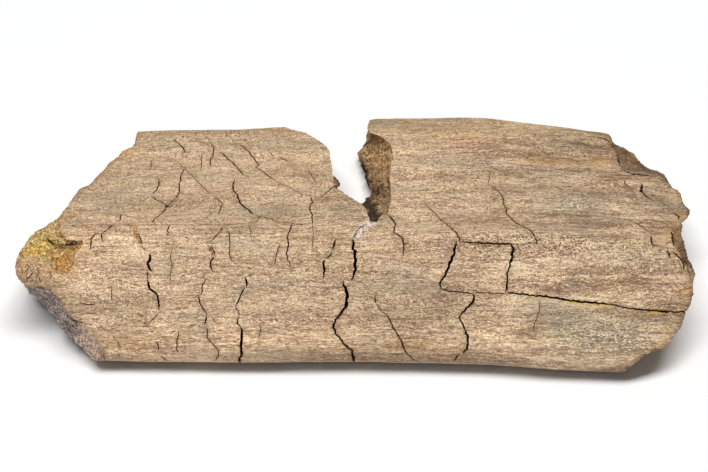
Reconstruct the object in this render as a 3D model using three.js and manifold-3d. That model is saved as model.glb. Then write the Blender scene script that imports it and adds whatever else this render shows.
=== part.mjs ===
// A section of fossil dinosaur rib, lying on its flat inner face.
//
// The bone runs along X. Its thick, rounded edge faces -Y and its thin edge faces +Y, and a low crest
// runs along the top between them. Z is up from the resting face. The units are millimetres.
//
// A place on the bone's skin is given as [x, girth]: x along the bone, and girth measured over the skin
// from the crest, positive towards the thin edge and negative down the thick one.
import * as THREE from "three";
import { mergeVertices } from "three/addons/utils/BufferGeometryUtils.js";
import Module from "manifold-3d";

const wasm = await Module();
wasm.setup();

// ---- The whole bar, before it broke ----

const BAR_LENGTH = 216;
const BAR_STEPS = 36;
const BAR_POINTS_PER_SPAN = 3; // how finely the bar's section curve is divided between its points
const SKIN_POINTS_PER_SPAN = 24; // the same, where places on the skin are looked up

// The section at mid-length as [y, z], from the thin edge over the crest and back under the bone.
const SECTION = [
  [34, 0.6], [38.6, 4], [40, 10], [38.4, 15.6], [33.5, 18.4], [20, 21.8], [6, 25], [-5, 28.6],
  [-12, 30.7], [-17, 30.5], [-24, 27.9], [-31, 23.2], [-37, 17], [-40.8, 10.5], [-41, 5], [-37.5, 1.2],
  [-31, 0], [-10, 0], [12, 0],
];

// That section's own measures, and what they come to along the bone: the y of the thick edge, of the
// crest and of the thin edge, the height of the crest, and how thick the thin edge is.
const MID = { thick: -41.5, crest: -14, thin: 40, height: 31, rim: 17 };
const STATIONS = [
  { x: -100, thick: -40, crest: -12, thin: 38.5, height: 28, rim: 15 },
  { x: -60, thick: -41.5, crest: -13.5, thin: 39.5, height: 30, rim: 16 },
  { x: -15, thick: -42.5, crest: -14, thin: 40, height: 31, rim: 17 },
  { x: 10, thick: -42, crest: -14, thin: 43, height: 31, rim: 17 },
  { x: 40, thick: -42.5, crest: -15, thin: 43.5, height: 31, rim: 17 },
  { x: 80, thick: -44, crest: -16, thin: 37.5, height: 31, rim: 16 },
  { x: 100, thick: -44, crest: -16.5, thin: 31, height: 30, rim: 15 },
];

// ---- The broken edges ----
// Each point is [x, girth, slipX, slipY]: where the break leaves the skin, and how far the broken face
// moves along X and Y for each millimetre that it goes down.

const LEFT_BREAK = [
  [-67.5, 51, 0, 0.7], [-68, 44, 0, 0.7], [-72.5, 38, 0, 0.7], [-76, 30, 0, 0.7],
  [-80.5, 23, 0, 0.7], [-83, 18, 0, 0.7], [-85.5, 12.5, 0, 0.7], [-88, 7, 0, 0.7], [-93.5, 2, 0, 0.7],
  [-97, -4.5, 0, 0.7], [-98.6, -10, 0, 0.65], [-95.8, -15, -0.1, 0.62], [-93, -15.4, -0.2, 0.57],
  [-90, -15.6, -0.24, 0.5],
  [-87, -17.3, -0.24, 0.4], [-84.2, -21.7, -0.24, 0.38], [-82, -24.6, -0.23, 0.3],
  [-79, -27, -0.24, 0.26], [-77, -29.5, -0.22, 0.2], [-74.8, -32, -0.22, 0.2],
  [-73.5, -36, -0.15, 0.3], [-72, -41, 0, 0.5],
];

const RIGHT_BREAK = [
  [78.5, -41, 0, 0.6], [83, -34.3, 0, 0.65], [89, -31, 0, 0.7], [94, -26, 0, 0.7],
  [95.8, -20.5, 0, 0.7], [97.5, -14, 0, 0.7], [98.2, -9, 0, 0.7], [96.3, -3, 0, 0.7], [96.3, 6, 0, 0.7],
  [98.5, 14, 0, 0.7], [98.9, 17.5, 0, 0.7], [97.6, 25, 0, 0.7], [95.2, 29, 0, 0.7], [92.5, 35, 0, 0.7],
  [88.5, 37.5, 0, 0.7], [84, 44.5, 0, 0.7], [80.5, 47, 0, 0.7], [79.5, 51, 0, 0.7],
];

const NOTCH_BREAK = [
  [-18, 51, 0.02, 0.6], [-12, 47, 0.02, 0.6], [-8, 41, 0.05, 0.6], [-6.6, 32, 0.06, 0.7],
  [-6, 23.5, 0.06, 0.7], [-2, 19, 0, 0.7], [2, 15.3, 0, 0.7], [4, 10, -0.05, 0.84],
  [5, 6, -0.07, 0.95], [7, 6.5, -0.11, 0.98], [10, 10.5, -0.18, 0.96], [10.8, 18, -0.25, 0.86],
  [10.3, 29, -0.29, 0.7], [11.7, 37, -0.47, 0.68], [10.5, 43, -0.44, 0.61], [6, 48, -0.13, 0.55],
  [4.6, 51, -0.03, 0.55],
];

const CUT_TOP = 36; // the level where a break's cutter starts, above the bone
const CUT_BOTTOM = -1; // and where it ends, below the bone
const CUT_REACH = 140; // how far it goes along the bone, from the middle
const CUT_WIDTH = 90; // and across it

// Shallow pieces that flaked off the skin, as [x, girth, depth]: at the left tip, down to the yellow
// mineral, and at the worn corner beyond the curved crack on the right.
const FLAKES = [
  [
    [-86.5, 12, 1], [-86, 8, 2], [-85.5, 1, 2], [-79.5, -1.2, 1.8], [-80.5, -4.5, 1.8],
    [-82.3, -10.5, 1.6], [-84.5, -12, 1.2], [-88.5, -9.5, 1.2], [-93, -8, 2], [-102, -9, 4],
    [-103, 2, 5], [-94, 12, 4],
  ],
  [
    [80.5, 46, 0.5], [81.5, 38, 0.8], [85, 34.5, 0.8], [91, 33, 1], [96, 29, 1.6], [101, 27, 3],
    [99, 37, 3], [90, 46, 2],
  ],
];
const FLAKE_LIFT = 5; // how far a flake's cutter stands above the skin

// ---- The open cracks ----
// Each has its width at the skin, its depth, and the [x, girth] that it runs through.

const CRACKS = [
  { width: 0.8, depth: 4, through: [[-58.9, -5.6], [-59.8, -8.7], [-58.6, -10.8]] },
  { width: 0.7, depth: 4, through: [[-59.8, -13.3], [-59, -16], [-57, -18], [-56.5, -22]] },
  { width: 0.7, depth: 4, through: [[-31.5, -12.6], [-31.2, -15], [-32.5, -17.5], [-34, -20.5]] },
  { width: 0.8, depth: 5, through: [[-33.8, -26], [-32.7, -28], [-32.8, -33], [-33, -39.5]] },
  { width: 0.8, depth: 5, through: [[-5.3, -1.4], [-6, -4.5], [-9, -8.5], [-8.6, -12]] },
  { width: 0.9, depth: 6, through: [[-0.3, -1.3], [-0.3, -3.5], [0.4, -7.5], [0.3, -10.5], [-0.5, -12.5]] },
  {
    width: 1,
    depth: 7,
    through: [
      [-3.1, -14], [-2.1, -18], [-2.8, -22], [-5.9, -26.3], [-4.7, -29.8], [-0.5, -34.7], [0, -39.5],
    ],
  },
  { width: 0.9, depth: 6, through: [[29.8, -1.2], [29, -5], [26.5, -11.2], [24.8, -14], [24.9, -15.3]] },
  { width: 0.7, depth: 4, through: [[31, -1.5], [38, -1.7], [44.5, -1.6]] },
  { width: 0.9, depth: 6, through: [[45.8, -2.4], [46.1, -4], [44.4, -10.2], [44, -15.3]] },
  {
    width: 0.8,
    depth: 5,
    through: [[44.5, -16.5], [50, -16.5], [56, -17.1], [65, -18.3], [74, -19], [79, -20], [95.5, -20.4]],
  },
  {
    width: 0.9,
    depth: 6,
    through: [[34.8, -17.5], [33, -20.5], [30.4, -23.7], [33, -31], [31.7, -35], [29.2, -38.6]],
  },
  { width: 0.6, depth: 4, through: [[44.8, 12], [48, 7.4], [51.2, 3.7], [52.9, 0], [52.7, -1.6]] },
];
const CRACK_LIFT = 1.5; // how far a crack's cutter stands above the skin
const CRACK_FOOT = 0.25; // its width at the foot, as a share of that at the skin
const CRACK_TIP = 0.35; // its size at both ends, as a share of that between them

// ---- The skin of the whole bar ----

// The section's measures at one place along the bone.
function measuresAt(x) {
  const spans = STATIONS.length - 1;
  const next = STATIONS.findIndex((station) => station.x > x);
  const span = next < 0 ? spans - 1 : Math.max(0, next - 1);
  const [from, to] = [STATIONS[span], STATIONS[span + 1]];
  const share = THREE.MathUtils.smoothstep(x, from.x, to.x);
  return Object.fromEntries(
    Object.keys(MID).map((key) => [key, THREE.MathUtils.lerp(from[key], to[key], share)]),
  );
}

// Where a point of the mid-length section goes in the section at x. The underside stays flat.
function fitSection(x, y, z) {
  const here = measuresAt(x);
  const edge = y > MID.crest ? "thin" : "thick";
  const reach = (y - MID.crest) / (MID[edge] - MID.crest);
  const share = edge === "thin" ? THREE.MathUtils.clamp(reach, 0, 1) : 0;
  const rise = THREE.MathUtils.lerp(here.height / MID.height, here.rim / MID.rim, share);
  return new THREE.Vector3(x, here.crest + reach * (here[edge] - here.crest), Math.max(0, z * rise));
}

function sectionPoints(pointsPerSpan) {
  const corners = SECTION.map(([y, z]) => new THREE.Vector3(0, y, z));
  const curve = new THREE.CatmullRomCurve3(corners, true, "catmullrom");
  return curve.getPoints(SECTION.length * pointsPerSpan).slice(0, -1);
}

const skinSection = sectionPoints(SKIN_POINTS_PER_SPAN);
const crestIndex = skinSection.reduce((best, { z }, i) => (z > skinSection[best].z ? i : best), 0);

// The point of the skin at [x, girth], and the outward normal of the section there.
function skinAt(x, girth) {
  const ring = skinSection.map(({ y, z }) => fitSection(x, y, z));
  const towardsThin = girth > 0;
  const neighbour = (i) => (i + (towardsThin ? ring.length - 1 : 1)) % ring.length;
  let here = crestIndex;
  let left = Math.abs(girth);
  while (ring[here].distanceTo(ring[neighbour(here)]) < left) {
    left -= ring[here].distanceTo(ring[neighbour(here)]);
    here = neighbour(here);
  }
  const along = ring[neighbour(here)].clone().sub(ring[here]).normalize();
  const normal = new THREE.Vector3(0, -along.z, along.y).multiplyScalar(towardsThin ? 1 : -1);
  return { point: ring[here].clone().addScaledVector(along, left), normal };
}

// ---- Solids ----

function toSolid(geometry) {
  geometry.deleteAttribute("normal");
  geometry.deleteAttribute("uv");
  const merged = mergeVertices(geometry);
  return new wasm.Manifold(
    new wasm.Mesh({
      numProp: 3,
      vertProperties: merged.attributes.position.array,
      triVerts: Uint32Array.from(merged.index.array),
    }),
  );
}

function toGeometry(solid) {
  const { vertProperties, triVerts } = solid.getMesh();
  const geometry = new THREE.BufferGeometry();
  geometry.setAttribute("position", new THREE.BufferAttribute(vertProperties, 3));
  return geometry.setIndex(new THREE.BufferAttribute(triVerts, 1));
}

// Moves every vertex of a geometry to where the function says.
function moveVertices(geometry, place) {
  const position = geometry.attributes.position;
  const vertex = new THREE.Vector3();
  for (let i = 0; i < position.count; i += 1) {
    position.setXYZ(i, ...place(vertex.fromBufferAttribute(position, i)));
  }
  return geometry;
}

function makeBar() {
  const outline = sectionPoints(BAR_POINTS_PER_SPAN).map(({ y, z }) => new THREE.Vector2(y, z));
  const bar = new THREE.ExtrudeGeometry(new THREE.Shape(outline), {
    depth: BAR_LENGTH,
    steps: BAR_STEPS,
    bevelEnabled: false,
  });
  return toSolid(moveVertices(bar, (v) => fitSection(v.z - BAR_LENGTH / 2, v.x, v.y)));
}

// A prism whose two ends have outlines of their own, with as many corners as each other.
function makePrism(lower, upper) {
  const outline = lower.map(({ x, y }) => new THREE.Vector2(x, y));
  const prism = new THREE.ExtrudeGeometry(new THREE.Shape(outline), { depth: 1, bevelEnabled: false });
  const cornerAt = (v) => outline.findIndex(({ x, y }) => Math.hypot(x - v.x, y - v.y) < 1e-3);
  return toSolid(moveVertices(prism, (v) => (v.z > 0.5 ? upper : lower)[cornerAt(v)]));
}

// All that a break took away: what lies between its edge and the corners given, outside the bone.
function makeBreakCutter(edge, corners) {
  const outlineAt = (height) => [
    ...edge.map(([x, girth, slipX, slipY]) => {
      const { point } = skinAt(x, girth);
      const drop = point.z - height;
      return new THREE.Vector3(point.x + slipX * drop, point.y + slipY * drop, height);
    }),
    ...corners.map(([x, y]) => new THREE.Vector3(x, y, height)),
  ];
  return makePrism(outlineAt(CUT_BOTTOM), outlineAt(CUT_TOP));
}

function makeFlakeCutter(outline) {
  const places = outline.map(([x, girth, depth]) => ({ depth, ...skinAt(x, girth) }));
  const lower = places.map(({ point, normal, depth }) => point.clone().addScaledVector(normal, -depth));
  const upper = places.map(({ point, normal }) => point.clone().addScaledVector(normal, FLAKE_LIFT));
  return makePrism(lower, upper);
}

// A wedge that follows the skin from the crack's first point to its last.
function makeCrackCutter({ width, depth, through }) {
  const places = through.map(([x, girth]) => skinAt(x, girth));
  const last = places.length - 1;
  const wedge = new THREE.BoxGeometry(last, 1, 1, last, 1, 1);
  return toSolid(
    moveVertices(wedge, (v) => {
      const i = Math.round(v.x + last / 2);
      const { point, normal } = places[i];
      const along = places[Math.min(i + 1, last)].point.clone().sub(places[Math.max(i - 1, 0)].point);
      const across = normal.clone().cross(along).normalize();
      const size = i === 0 || i === last ? CRACK_TIP : 1;
      const atFoot = v.z < 0;
      const offset = v.y * width * size * (atFoot ? CRACK_FOOT : 1);
      const height = atFoot ? -depth * size : CRACK_LIFT;
      return point.clone().addScaledVector(across, offset).addScaledVector(normal, height);
    }),
  );
}

// ---- The object ----

function makeRibSection() {
  const cutters = [
    makeBreakCutter(LEFT_BREAK, [
      [-72, -CUT_WIDTH], [-CUT_REACH, -CUT_WIDTH], [-CUT_REACH, CUT_WIDTH], [-67.5, CUT_WIDTH],
    ]),
    makeBreakCutter(RIGHT_BREAK, [
      [79.5, CUT_WIDTH], [CUT_REACH, CUT_WIDTH], [CUT_REACH, -CUT_WIDTH], [78.5, -CUT_WIDTH],
    ]),
    makeBreakCutter(NOTCH_BREAK, [[4.6, CUT_WIDTH], [-18, CUT_WIDTH]]),
    ...FLAKES.map(makeFlakeCutter),
    ...CRACKS.map(makeCrackCutter),
  ];
  const bone = cutters.reduce((rest, cutter) => rest.subtract(cutter), makeBar());
  const material = new THREE.MeshStandardMaterial({ color: 0xc1a688, roughness: 0.85, metalness: 0 });
  const mesh = new THREE.Mesh(toGeometry(bone), material);
  mesh.name = "rib_section";
  return mesh;
}

const fossil = new THREE.Group();
fossil.add(makeRibSection());

export default fossil;
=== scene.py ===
import math
import random

import bmesh
import bpy
import numpy as np
from mathutils import Euler, Matrix, Vector, noise


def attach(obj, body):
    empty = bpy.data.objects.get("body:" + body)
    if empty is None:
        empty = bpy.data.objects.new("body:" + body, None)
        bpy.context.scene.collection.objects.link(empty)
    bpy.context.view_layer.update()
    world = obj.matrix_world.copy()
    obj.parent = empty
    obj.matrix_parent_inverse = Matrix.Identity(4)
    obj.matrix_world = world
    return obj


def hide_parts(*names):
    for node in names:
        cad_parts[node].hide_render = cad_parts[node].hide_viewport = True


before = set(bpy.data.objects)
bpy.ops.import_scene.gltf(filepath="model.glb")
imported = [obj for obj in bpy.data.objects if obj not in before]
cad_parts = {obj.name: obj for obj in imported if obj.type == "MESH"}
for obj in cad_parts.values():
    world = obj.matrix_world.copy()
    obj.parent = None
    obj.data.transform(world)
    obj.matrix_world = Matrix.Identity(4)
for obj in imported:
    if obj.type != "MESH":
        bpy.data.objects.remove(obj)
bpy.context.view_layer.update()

# Lengths are millimetres up to the last step of a mesh, which brings it to metres.
# A place on the bone is (x, girth): x runs along the bone, and girth is measured over
# the skin from the crest, positive towards the thin edge and negative down the front.
MILLIMETRE = 0.001

# ---------------------------------------------------------------- the bone's section

# Closed outline of the middle of the bone, as (y, z).
SECTION = (
    (34, 0.6), (38.6, 4), (40, 10), (38.4, 15.6), (33.5, 18.4), (20, 21.8), (6, 25),
    (-5, 28.6), (-12, 30.7), (-17, 30.5), (-24, 27.9), (-31, 23.2), (-37, 17),
    (-40.6, 12), (-41.4, 8.4), (-41.1, 5.2), (-39, 2.3), (-35.5, 0.4), (-30, 0), (-10, 0),
    (12, 0),
)
MID_THICK, MID_CREST, MID_THIN, MID_HEIGHT, MID_RIM = -41.5, -14, 40, 31, 17
# x, thick edge, crest, thin edge, height of the crest, height of the thin edge.
STATIONS = np.array((
    (-100, -40.6, -12, 37.6, 28, 15),
    (-60, -41.6, -13.5, 38.6, 30, 16),
    (-15, -41.9, -14, 39.7, 31, 17),
    (0, -41.7, -14, 43, 31, 17),
    (40, -42.6, -15, 43.5, 31, 17),
    (62, -44.8, -15.6, 40.6, 31, 16.5),
    (80, -45.3, -16, 38, 31, 16),
    (100, -45, -16.5, 31.5, 30, 15),
))
STATION_BLUR = np.array((-6, -4, -2, 0, 2, 4, 6))
POINTS_PER_SPAN = 24
# How far to each side of a point its normal looks.
NORMAL_REACH = 0.8


def closed_curve(points, per_span):
    """Points along a closed uniform Catmull-Rom curve."""
    points = np.array(points, float)
    before, after, next_after = (np.roll(points, shift, axis=0) for shift in (1, -1, -2))
    t = (np.arange(per_span) / per_span)[None, :, None]
    a, b, c, d = (p[:, None, :] for p in (before, points, after, next_after))
    curve = 0.5 * (2 * b + (c - a) * t + (2 * a - 5 * b + 4 * c - d) * t**2
                   + (3 * b - a - 3 * c + d) * t**3)
    return curve.reshape(-1, 2)


MIDDLE_RING = closed_curve(SECTION, POINTS_PER_SPAN)


def smooth(value, low=0.0, high=1.0):
    t = np.clip((value - low) / (high - low), 0, 1)
    return t * t * (3 - 2 * t)


def measures_at(x):
    """The five measures of the section at x, averaged over a few millimetres of length."""
    near = x + STATION_BLUR
    return [np.interp(near, STATIONS[:, 0], column).mean() for column in STATIONS[:, 1:].T]


class Ring:
    """The section at one x: its points, its outward normals and their girth."""

    def __init__(self, x):
        thick, crest, thin, height, rim = measures_at(x)
        y, z = MIDDLE_RING[:, 0], MIDDLE_RING[:, 1]
        on_thin_side = y > MID_CREST
        reach = np.where(on_thin_side, (y - MID_CREST) / (MID_THIN - MID_CREST),
                         (y - MID_CREST) / (MID_THICK - MID_CREST))
        ring_y = crest + reach * np.where(on_thin_side, thin - crest, thick - crest)
        rim_share = np.where(on_thin_side, np.clip(reach, 0, 1), 0)
        rise = height / MID_HEIGHT + (rim / MID_RIM - height / MID_HEIGHT) * rim_share
        ring_z = np.maximum(0, z * rise)
        start = int(np.argmax(ring_z))
        points = np.stack((ring_y, ring_z), axis=1)
        points = np.roll(points, -start, axis=0)
        points = np.vstack((points, points[:1]))
        steps = np.linalg.norm(np.diff(points, axis=0), axis=1)
        self.points = points
        self.walked = np.concatenate(([0], np.cumsum(steps)))
        self.length = self.walked[-1]

    def place(self, walked):
        walked = walked % self.length
        return np.stack([np.interp(walked, self.walked, self.points[:, k]) for k in (0, 1)], -1)

    def at(self, girth):
        """Place and outward normal in the (y, z) plane at each girth."""
        walked = (-np.asarray(girth, float)) % self.length
        along = self.place(walked + NORMAL_REACH) - self.place(walked - NORMAL_REACH)
        along /= np.maximum(np.linalg.norm(along, axis=-1, keepdims=True), 1e-6)
        normal = np.stack((-along[..., 1], along[..., 0]), -1) * -1
        return self.place(walked), normal


RINGS = {}


def ring_at(x):
    key = round(float(x), 1)
    if key not in RINGS:
        RINGS[key] = Ring(key)
    return RINGS[key]


# ---------------------------------------------------------------- the skin's relief

# Worn hollows (negative) and swellings of the skin: x, girth, half sizes, height.
SWELLS = (
    (47, 9, 30, 4.5, -0.75), (52, 30, 26, 3.0, 0.35), (50, 35.5, 16, 2.2, -0.35),
    (60, 1.5, 34, 3.0, 0.3), (-30, 26, 34, 9, 0.3), (-52, 10, 20, 5, -0.25),
    (-62, -20, 18, 4, -0.3), (75, -30, 18, 6, -0.35), (-20, -24, 26, 4, 0.25),
    (12, 33, 8, 9, 0.3), (84, 20, 9, 6, -0.4), (2, -33, 30, 3, 0.25),
    (65, 50, 7, 5, 0.7),
)


# Height, length along the bone and width across it of each kind of relief.
BROAD_RELIEF, RIDGES, FIBRES = (0.34, 26, 8), (0.2, 15, 2.6), (0.085, 5.5, 0.95)
GRAIN_SWAY, RIDGE_SHIFT = (0.8, 7, 5), 7


def bell(x, girth, place):
    at_x, at_girth, half_x, half_girth = place[:4]
    away = ((x - at_x) / half_x) ** 2 + ((girth - at_girth) / half_girth) ** 2
    return math.exp(-away) if away < 6 else 0.0


# The long split along the front, from the slab joint to the right end: x, girth.
SPLIT_LINE = ((44, 56, 64.5, 74.4, 80.7, 95.3), (-16.2, -17.2, -18.3, -19, -20.1, -20.4))
SPLIT_START, SPLIT_FULL, SPLIT_REACH, SPLIT_SINK = 44, 52, 14, 0.45
# The sunken slab beside the split: its ends along x, its girths, how far it has sunk.
SLAB_X, SLAB_GIRTH, SLAB_SINK = (30, 46), (-16.4, -1.6), 0.3


def long_noise(shape, x, y, z, shift=0.0):
    """Smooth noise drawn out along the bone."""
    height, length, width = shape
    return height * noise.noise((x / length + shift, y / width, z / width))


def skin_noise(x, girth, height, size, seed, across=None):
    """Smooth noise over the skin; across is its size over the girth where that differs."""
    return height * noise.noise((x / size, girth / (across or size), seed))


def relief(x, y, z, girth):
    """How far the skin stands out from the plain section."""
    swell = sum(bell(x, girth, place) * place[4] for place in SWELLS)
    broad = long_noise(BROAD_RELIEF, x, y, z)
    ridges = long_noise(RIDGES, x, y, z, RIDGE_SHIFT)
    fibres = long_noise(FIBRES, x, y + long_noise(GRAIN_SWAY, x, y, z), z)
    lift = swell + broad + ridges + fibres
    if SLAB_X[0] < x < SLAB_X[1] and SLAB_GIRTH[0] < girth < SLAB_GIRTH[1]:
        lift -= SLAB_SINK
    if x > SPLIT_START:
        below = float(np.interp(x, *SPLIT_LINE)) - girth
        if 0 < below < SPLIT_REACH:
            faded = 1 - smooth(below, 1, SPLIT_REACH)
            lift -= SPLIT_SINK * faded * float(smooth(x, SPLIT_START, SPLIT_FULL))
    return lift


def skin(x, girth, lift=0.0):
    """A point on the weathered skin, or lift above it."""
    place, normal = ring_at(x).at(girth)
    y, z = place
    out = lift + relief(x, y, z, girth)
    return Vector((x, y + normal[0] * out, z + normal[1] * out))


# ---------------------------------------------------------------- mesh helpers


def lattice(columns, rows):
    """A flat grid, with the column and the row of each vertex."""
    bm = bmesh.new()
    bmesh.ops.create_grid(bm, x_segments=columns, y_segments=rows, size=0.5)
    cells = [(v, round((v.co.x + 0.5) * columns), round((v.co.y + 0.5) * rows))
             for v in bm.verts]
    return bm, cells


def tube(sides, rings):
    """A capped tube, with the side and the ring of each vertex."""
    bm = bmesh.new()
    bmesh.ops.create_cone(bm, cap_ends=True, cap_tris=False, segments=sides,
                          radius1=1, radius2=1, depth=1)
    upright = [e for e in bm.edges if abs(e.verts[0].co.z - e.verts[1].co.z) > 0.5]
    bmesh.ops.subdivide_edges(bm, edges=upright, cuts=rings - 1)
    bm.verts.ensure_lookup_table()
    first = math.atan2(bm.verts[0].co.y, bm.verts[0].co.x)
    step = math.tau / sides
    cells = []
    for v in bm.verts:
        turn = math.atan2(v.co.y, v.co.x) - first
        cells.append((v, round(turn / step) % sides, round((v.co.z + 0.5) * rings)))
    return bm, cells


def finish_mesh(name, bm, finish, materials):
    """Turn a bmesh into an object; finish is every face's material, or None to keep each."""
    bmesh.ops.recalc_face_normals(bm, faces=bm.faces)
    if bm.calc_volume(signed=True) < 0:
        bmesh.ops.reverse_faces(bm, faces=bm.faces)
    for face in bm.faces:
        if finish is not None:
            face.material_index = finish
    mesh = bpy.data.meshes.new(name)
    bm.to_mesh(mesh)
    bm.free()
    for material in materials:
        mesh.materials.append(material)
    return bpy.data.objects.new(name, mesh)


# ---------------------------------------------------------------- the uncut bone

BLANK_HALF = 103.0
BLANK_STEP = 1.1
VISIBLE_TOP, VISIBLE_FRONT, VISIBLE_STEP = 54.0, -46.0, 0.5
HIDDEN_ROWS = 60


def make_blank(materials):
    columns = round(2 * BLANK_HALF / BLANK_STEP)
    visible_rows = round((VISIBLE_TOP - VISIBLE_FRONT) / VISIBLE_STEP)
    bm, cells = lattice(columns, visible_rows + HIDDEN_ROWS)
    for v, column, row in cells:
        x = -BLANK_HALF + 2 * BLANK_HALF * column / columns
        if row <= visible_rows:
            girth = VISIBLE_TOP - VISIBLE_STEP * row
        else:
            hidden = ring_at(x).length - (VISIBLE_TOP - VISIBLE_FRONT)
            girth = VISIBLE_FRONT - hidden * (row - visible_rows) / HIDDEN_ROWS
            if row == visible_rows + HIDDEN_ROWS:
                girth = VISIBLE_TOP
        spot = skin(x, girth)
        spot.z = max(0.0, spot.z)
        v.co = spot
    bmesh.ops.remove_doubles(bm, verts=bm.verts, dist=0.01)
    bmesh.ops.holes_fill(bm, edges=[e for e in bm.edges if e.is_boundary], sides=0)
    return finish_mesh("rib_bone", bm, CORTEX, materials)


# ---------------------------------------------------------------- broken ends and notch

# Outlines of the breaks over the skin: x, girth and, where the broken face leans another
# way, its slip along x and y for each millimetre of drop.
EDGE_ON = (0, 0.7)
LEFT_END = (
    (-67.5, 51), (-67.8, 45), (-68.3, 43.3), (-71.3, 41), (-73.3, 37), (-75.1, 34.5),
    (-76.4, 31), (-77.8, 29), (-79.7, 25), (-82.6, 22.7), (-84.1, 18.7), (-85.1, 15),
    (-86.3, 12), (-87.1, 9), (-88, 8), (-90.5, 4.6), (-92.6, 2.9), (-94.4, 0.9),
    (-95.9, -2.1), (-97.3, -4.7), (-98.2, -7.2, 0, 0.67), (-98.6, -9.7, 0, 0.63),
    (-98.2, -11.9, -0.05, 0.6), (-97.1, -13.7, -0.11, 0.59), (-95.5, -15, -0.16, 0.56),
    (-93, -15.4, -0.25, 0.48), (-90, -15.6, -0.3, 0.37), (-88, -16.5, -0.28, 0.24),
    (-86.5, -18, -0.25, 0.2), (-85, -19, -0.24, 0.18), (-84.2, -21.7, -0.24, 0.15),
    (-82.7, -24, -0.22, 0.05), (-80.3, -25.7, -0.22, -0.02), (-78.4, -27.4, -0.21, -0.07),
    (-77.4, -29.2, -0.22, -0.12), (-75.6, -30.6, -0.24, -0.13), (-74.8, -32.4, -0.26, -0.12),
    (-73.8, -36, -0.27, -0.2), (-73, -41, 0, 0.5),
)
LEFT_CORNERS = ((-72, -90), (-140, -90), (-140, 90), (-67.5, 90))
RIGHT_END = (
    (79.6, -42, 0, 0.6), (80.2, -39.6, 0, 0.62), (81.8, -36.6, 0, 0.65), (84, -34.2),
    (86.6, -32.6), (90, -31.4), (91.8, -28.8), (94.2, -25.5), (95.2, -22.4),
    (95.6, -20.4), (97, -18.4), (97.7, -15.1), (97.9, -11.3), (98.6, -9.3), (98.3, -7.4),
    (97.2, -5), (96.5, -2.2), (96.5, -0.4), (96.2, 2.2), (96.4, 5.5), (96.6, 8.4),
    (96.6, 10.4), (97.6, 11.6), (98.7, 13.2), (99.4, 15.2), (100, 17.3), (98.8, 20.2),
    (98.4, 23.3), (98.4, 25.6), (97.6, 27.5), (95.9, 28.6), (95.8, 31), (95.6, 33),
    (94.9, 34.8), (93.5, 36.2), (91.6, 37), (90.2, 37.4), (89.3, 38.2), (88.2, 40.1),
    (87.2, 42.1), (86.2, 43.8), (85, 44.6), (84, 45.7), (83.6, 46.6), (81.2, 47.4),
    (80.3, 48.6), (80.1, 50.6), (79.6, 53), (78.4, 55), (76.4, 56.6), (73, 57.8),
)
RIGHT_CORNERS = ((73, 90), (140, 90), (140, -90), (80, -90))
NOTCH = (
    (-21.6, 53.5, -0.05, 0.6), (-19.6, 51.6, -0.05, 0.6), (-17.4, 50.6, -0.05, 0.6),
    (-15, 49.4, -0.05, 0.6), (-13.3, 47.4, -0.06, 0.6), (-11.1, 45.3, -0.07, 0.6),
    (-9, 43, -0.08, 0.6), (-7.6, 40.3, -0.09, 0.6), (-7.1, 36.2, -0.1, 0.65),
    (-6.7, 32, -0.1, 0.7), (-6.3, 27.8, -0.1, 0.7), (-6.1, 22.9, -0.08, 0.7),
    (-3.9, 20.8, 0, 0.7),
    (-1.8, 18.6), (1.1, 15.8), (2, 15.3), (3.6, 12.3, -0.04, 0.82), (4.3, 8.4, -0.07, 0.94),
    (4.6, 6.2, -0.08, 0.98), (5.5, 5.8, -0.11, 1), (6.6, 5.9, -0.13, 1.03),
    (7.4, 7.9, -0.16, 1.02), (8.4, 9.9, -0.19, 1.01), (9.9, 10.4, -0.22, 1.01),
    (10.8, 15, -0.26, 0.94), (11.1, 19.5, -0.3, 0.87), (11, 22, -0.32, 0.82),
    (10.7, 26.2, -0.35, 0.75), (10.9, 30.2, -0.38, 0.7), (11.2, 33.3, -0.47, 0.69),
    (12.1, 35.4, -0.56, 0.67), (11.9, 38.7, -0.62, 0.66), (11.5, 41.6, -0.62, 0.6),
    (11, 43.8, -0.6, 0.56), (9.7, 45.3, -0.5, 0.52), (8.1, 46.8, -0.32, 0.5),
    (6.6, 47.6, -0.25, 0.48), (4.8, 48.8, -0.09, 0.47), (4.3, 50.4, -0.05, 0.46),
    (4.2, 52.6, 0, 0.46), (4.5, 54.4, 0, 0.46), (5.3, 56, 0, 0.46), (6.8, 57.2, 0, 0.46),
    (9, 58, 0, 0.46), (12, 58.6, 0, 0.46),
)
NOTCH_CORNERS = ((12, 90), (-21.6, 90))
# Knobs of spongy bone that stay out of a cut: x, girth, drop, reach, height.
NOTCH_KNOBS = ((-6, 25, 3.2, 4.6, 2.3), (9.5, 37, 7, 4, 0.8), (10.5, 24, 6, 4, 0.7))

OUTLINE_STEP = 0.8
WALL_LEVELS = 26
# Below its foot a broken face runs back under the bone: height of the foot, undercut.
LEFT_FOOT, RIGHT_FOOT, NOTCH_FOOT = (9.5, 0.8), (6.0, 1.3), (4.0, 1.3)
FOOT_SHARE = 0.4
# How far a broken wall strays, and how far its outline does.
WALL_BITE, OUTLINE_JITTER = 0.6, 0.3
COARSE_SIZE, GRIT_SIZE, CRUMB_SIZE, CRUMB_SHIFT = 6.5, 1.7, 0.8, Vector((5, 0, 0))
# Corners of a cut lie off the bone, at this height and at a girth past any of its own.
CORNER_HEIGHT, OFF_THE_BONE = 20, 1000
# Left of this girth the end is stone; below this one the right end still has its skin.
STONE_GIRTH, SKIN_GIRTH = -15.2, -34
UNDERCUT_ROUND = 1.5
CUT_TOP, CUT_BOTTOM = 40.0, -2.0


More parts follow.
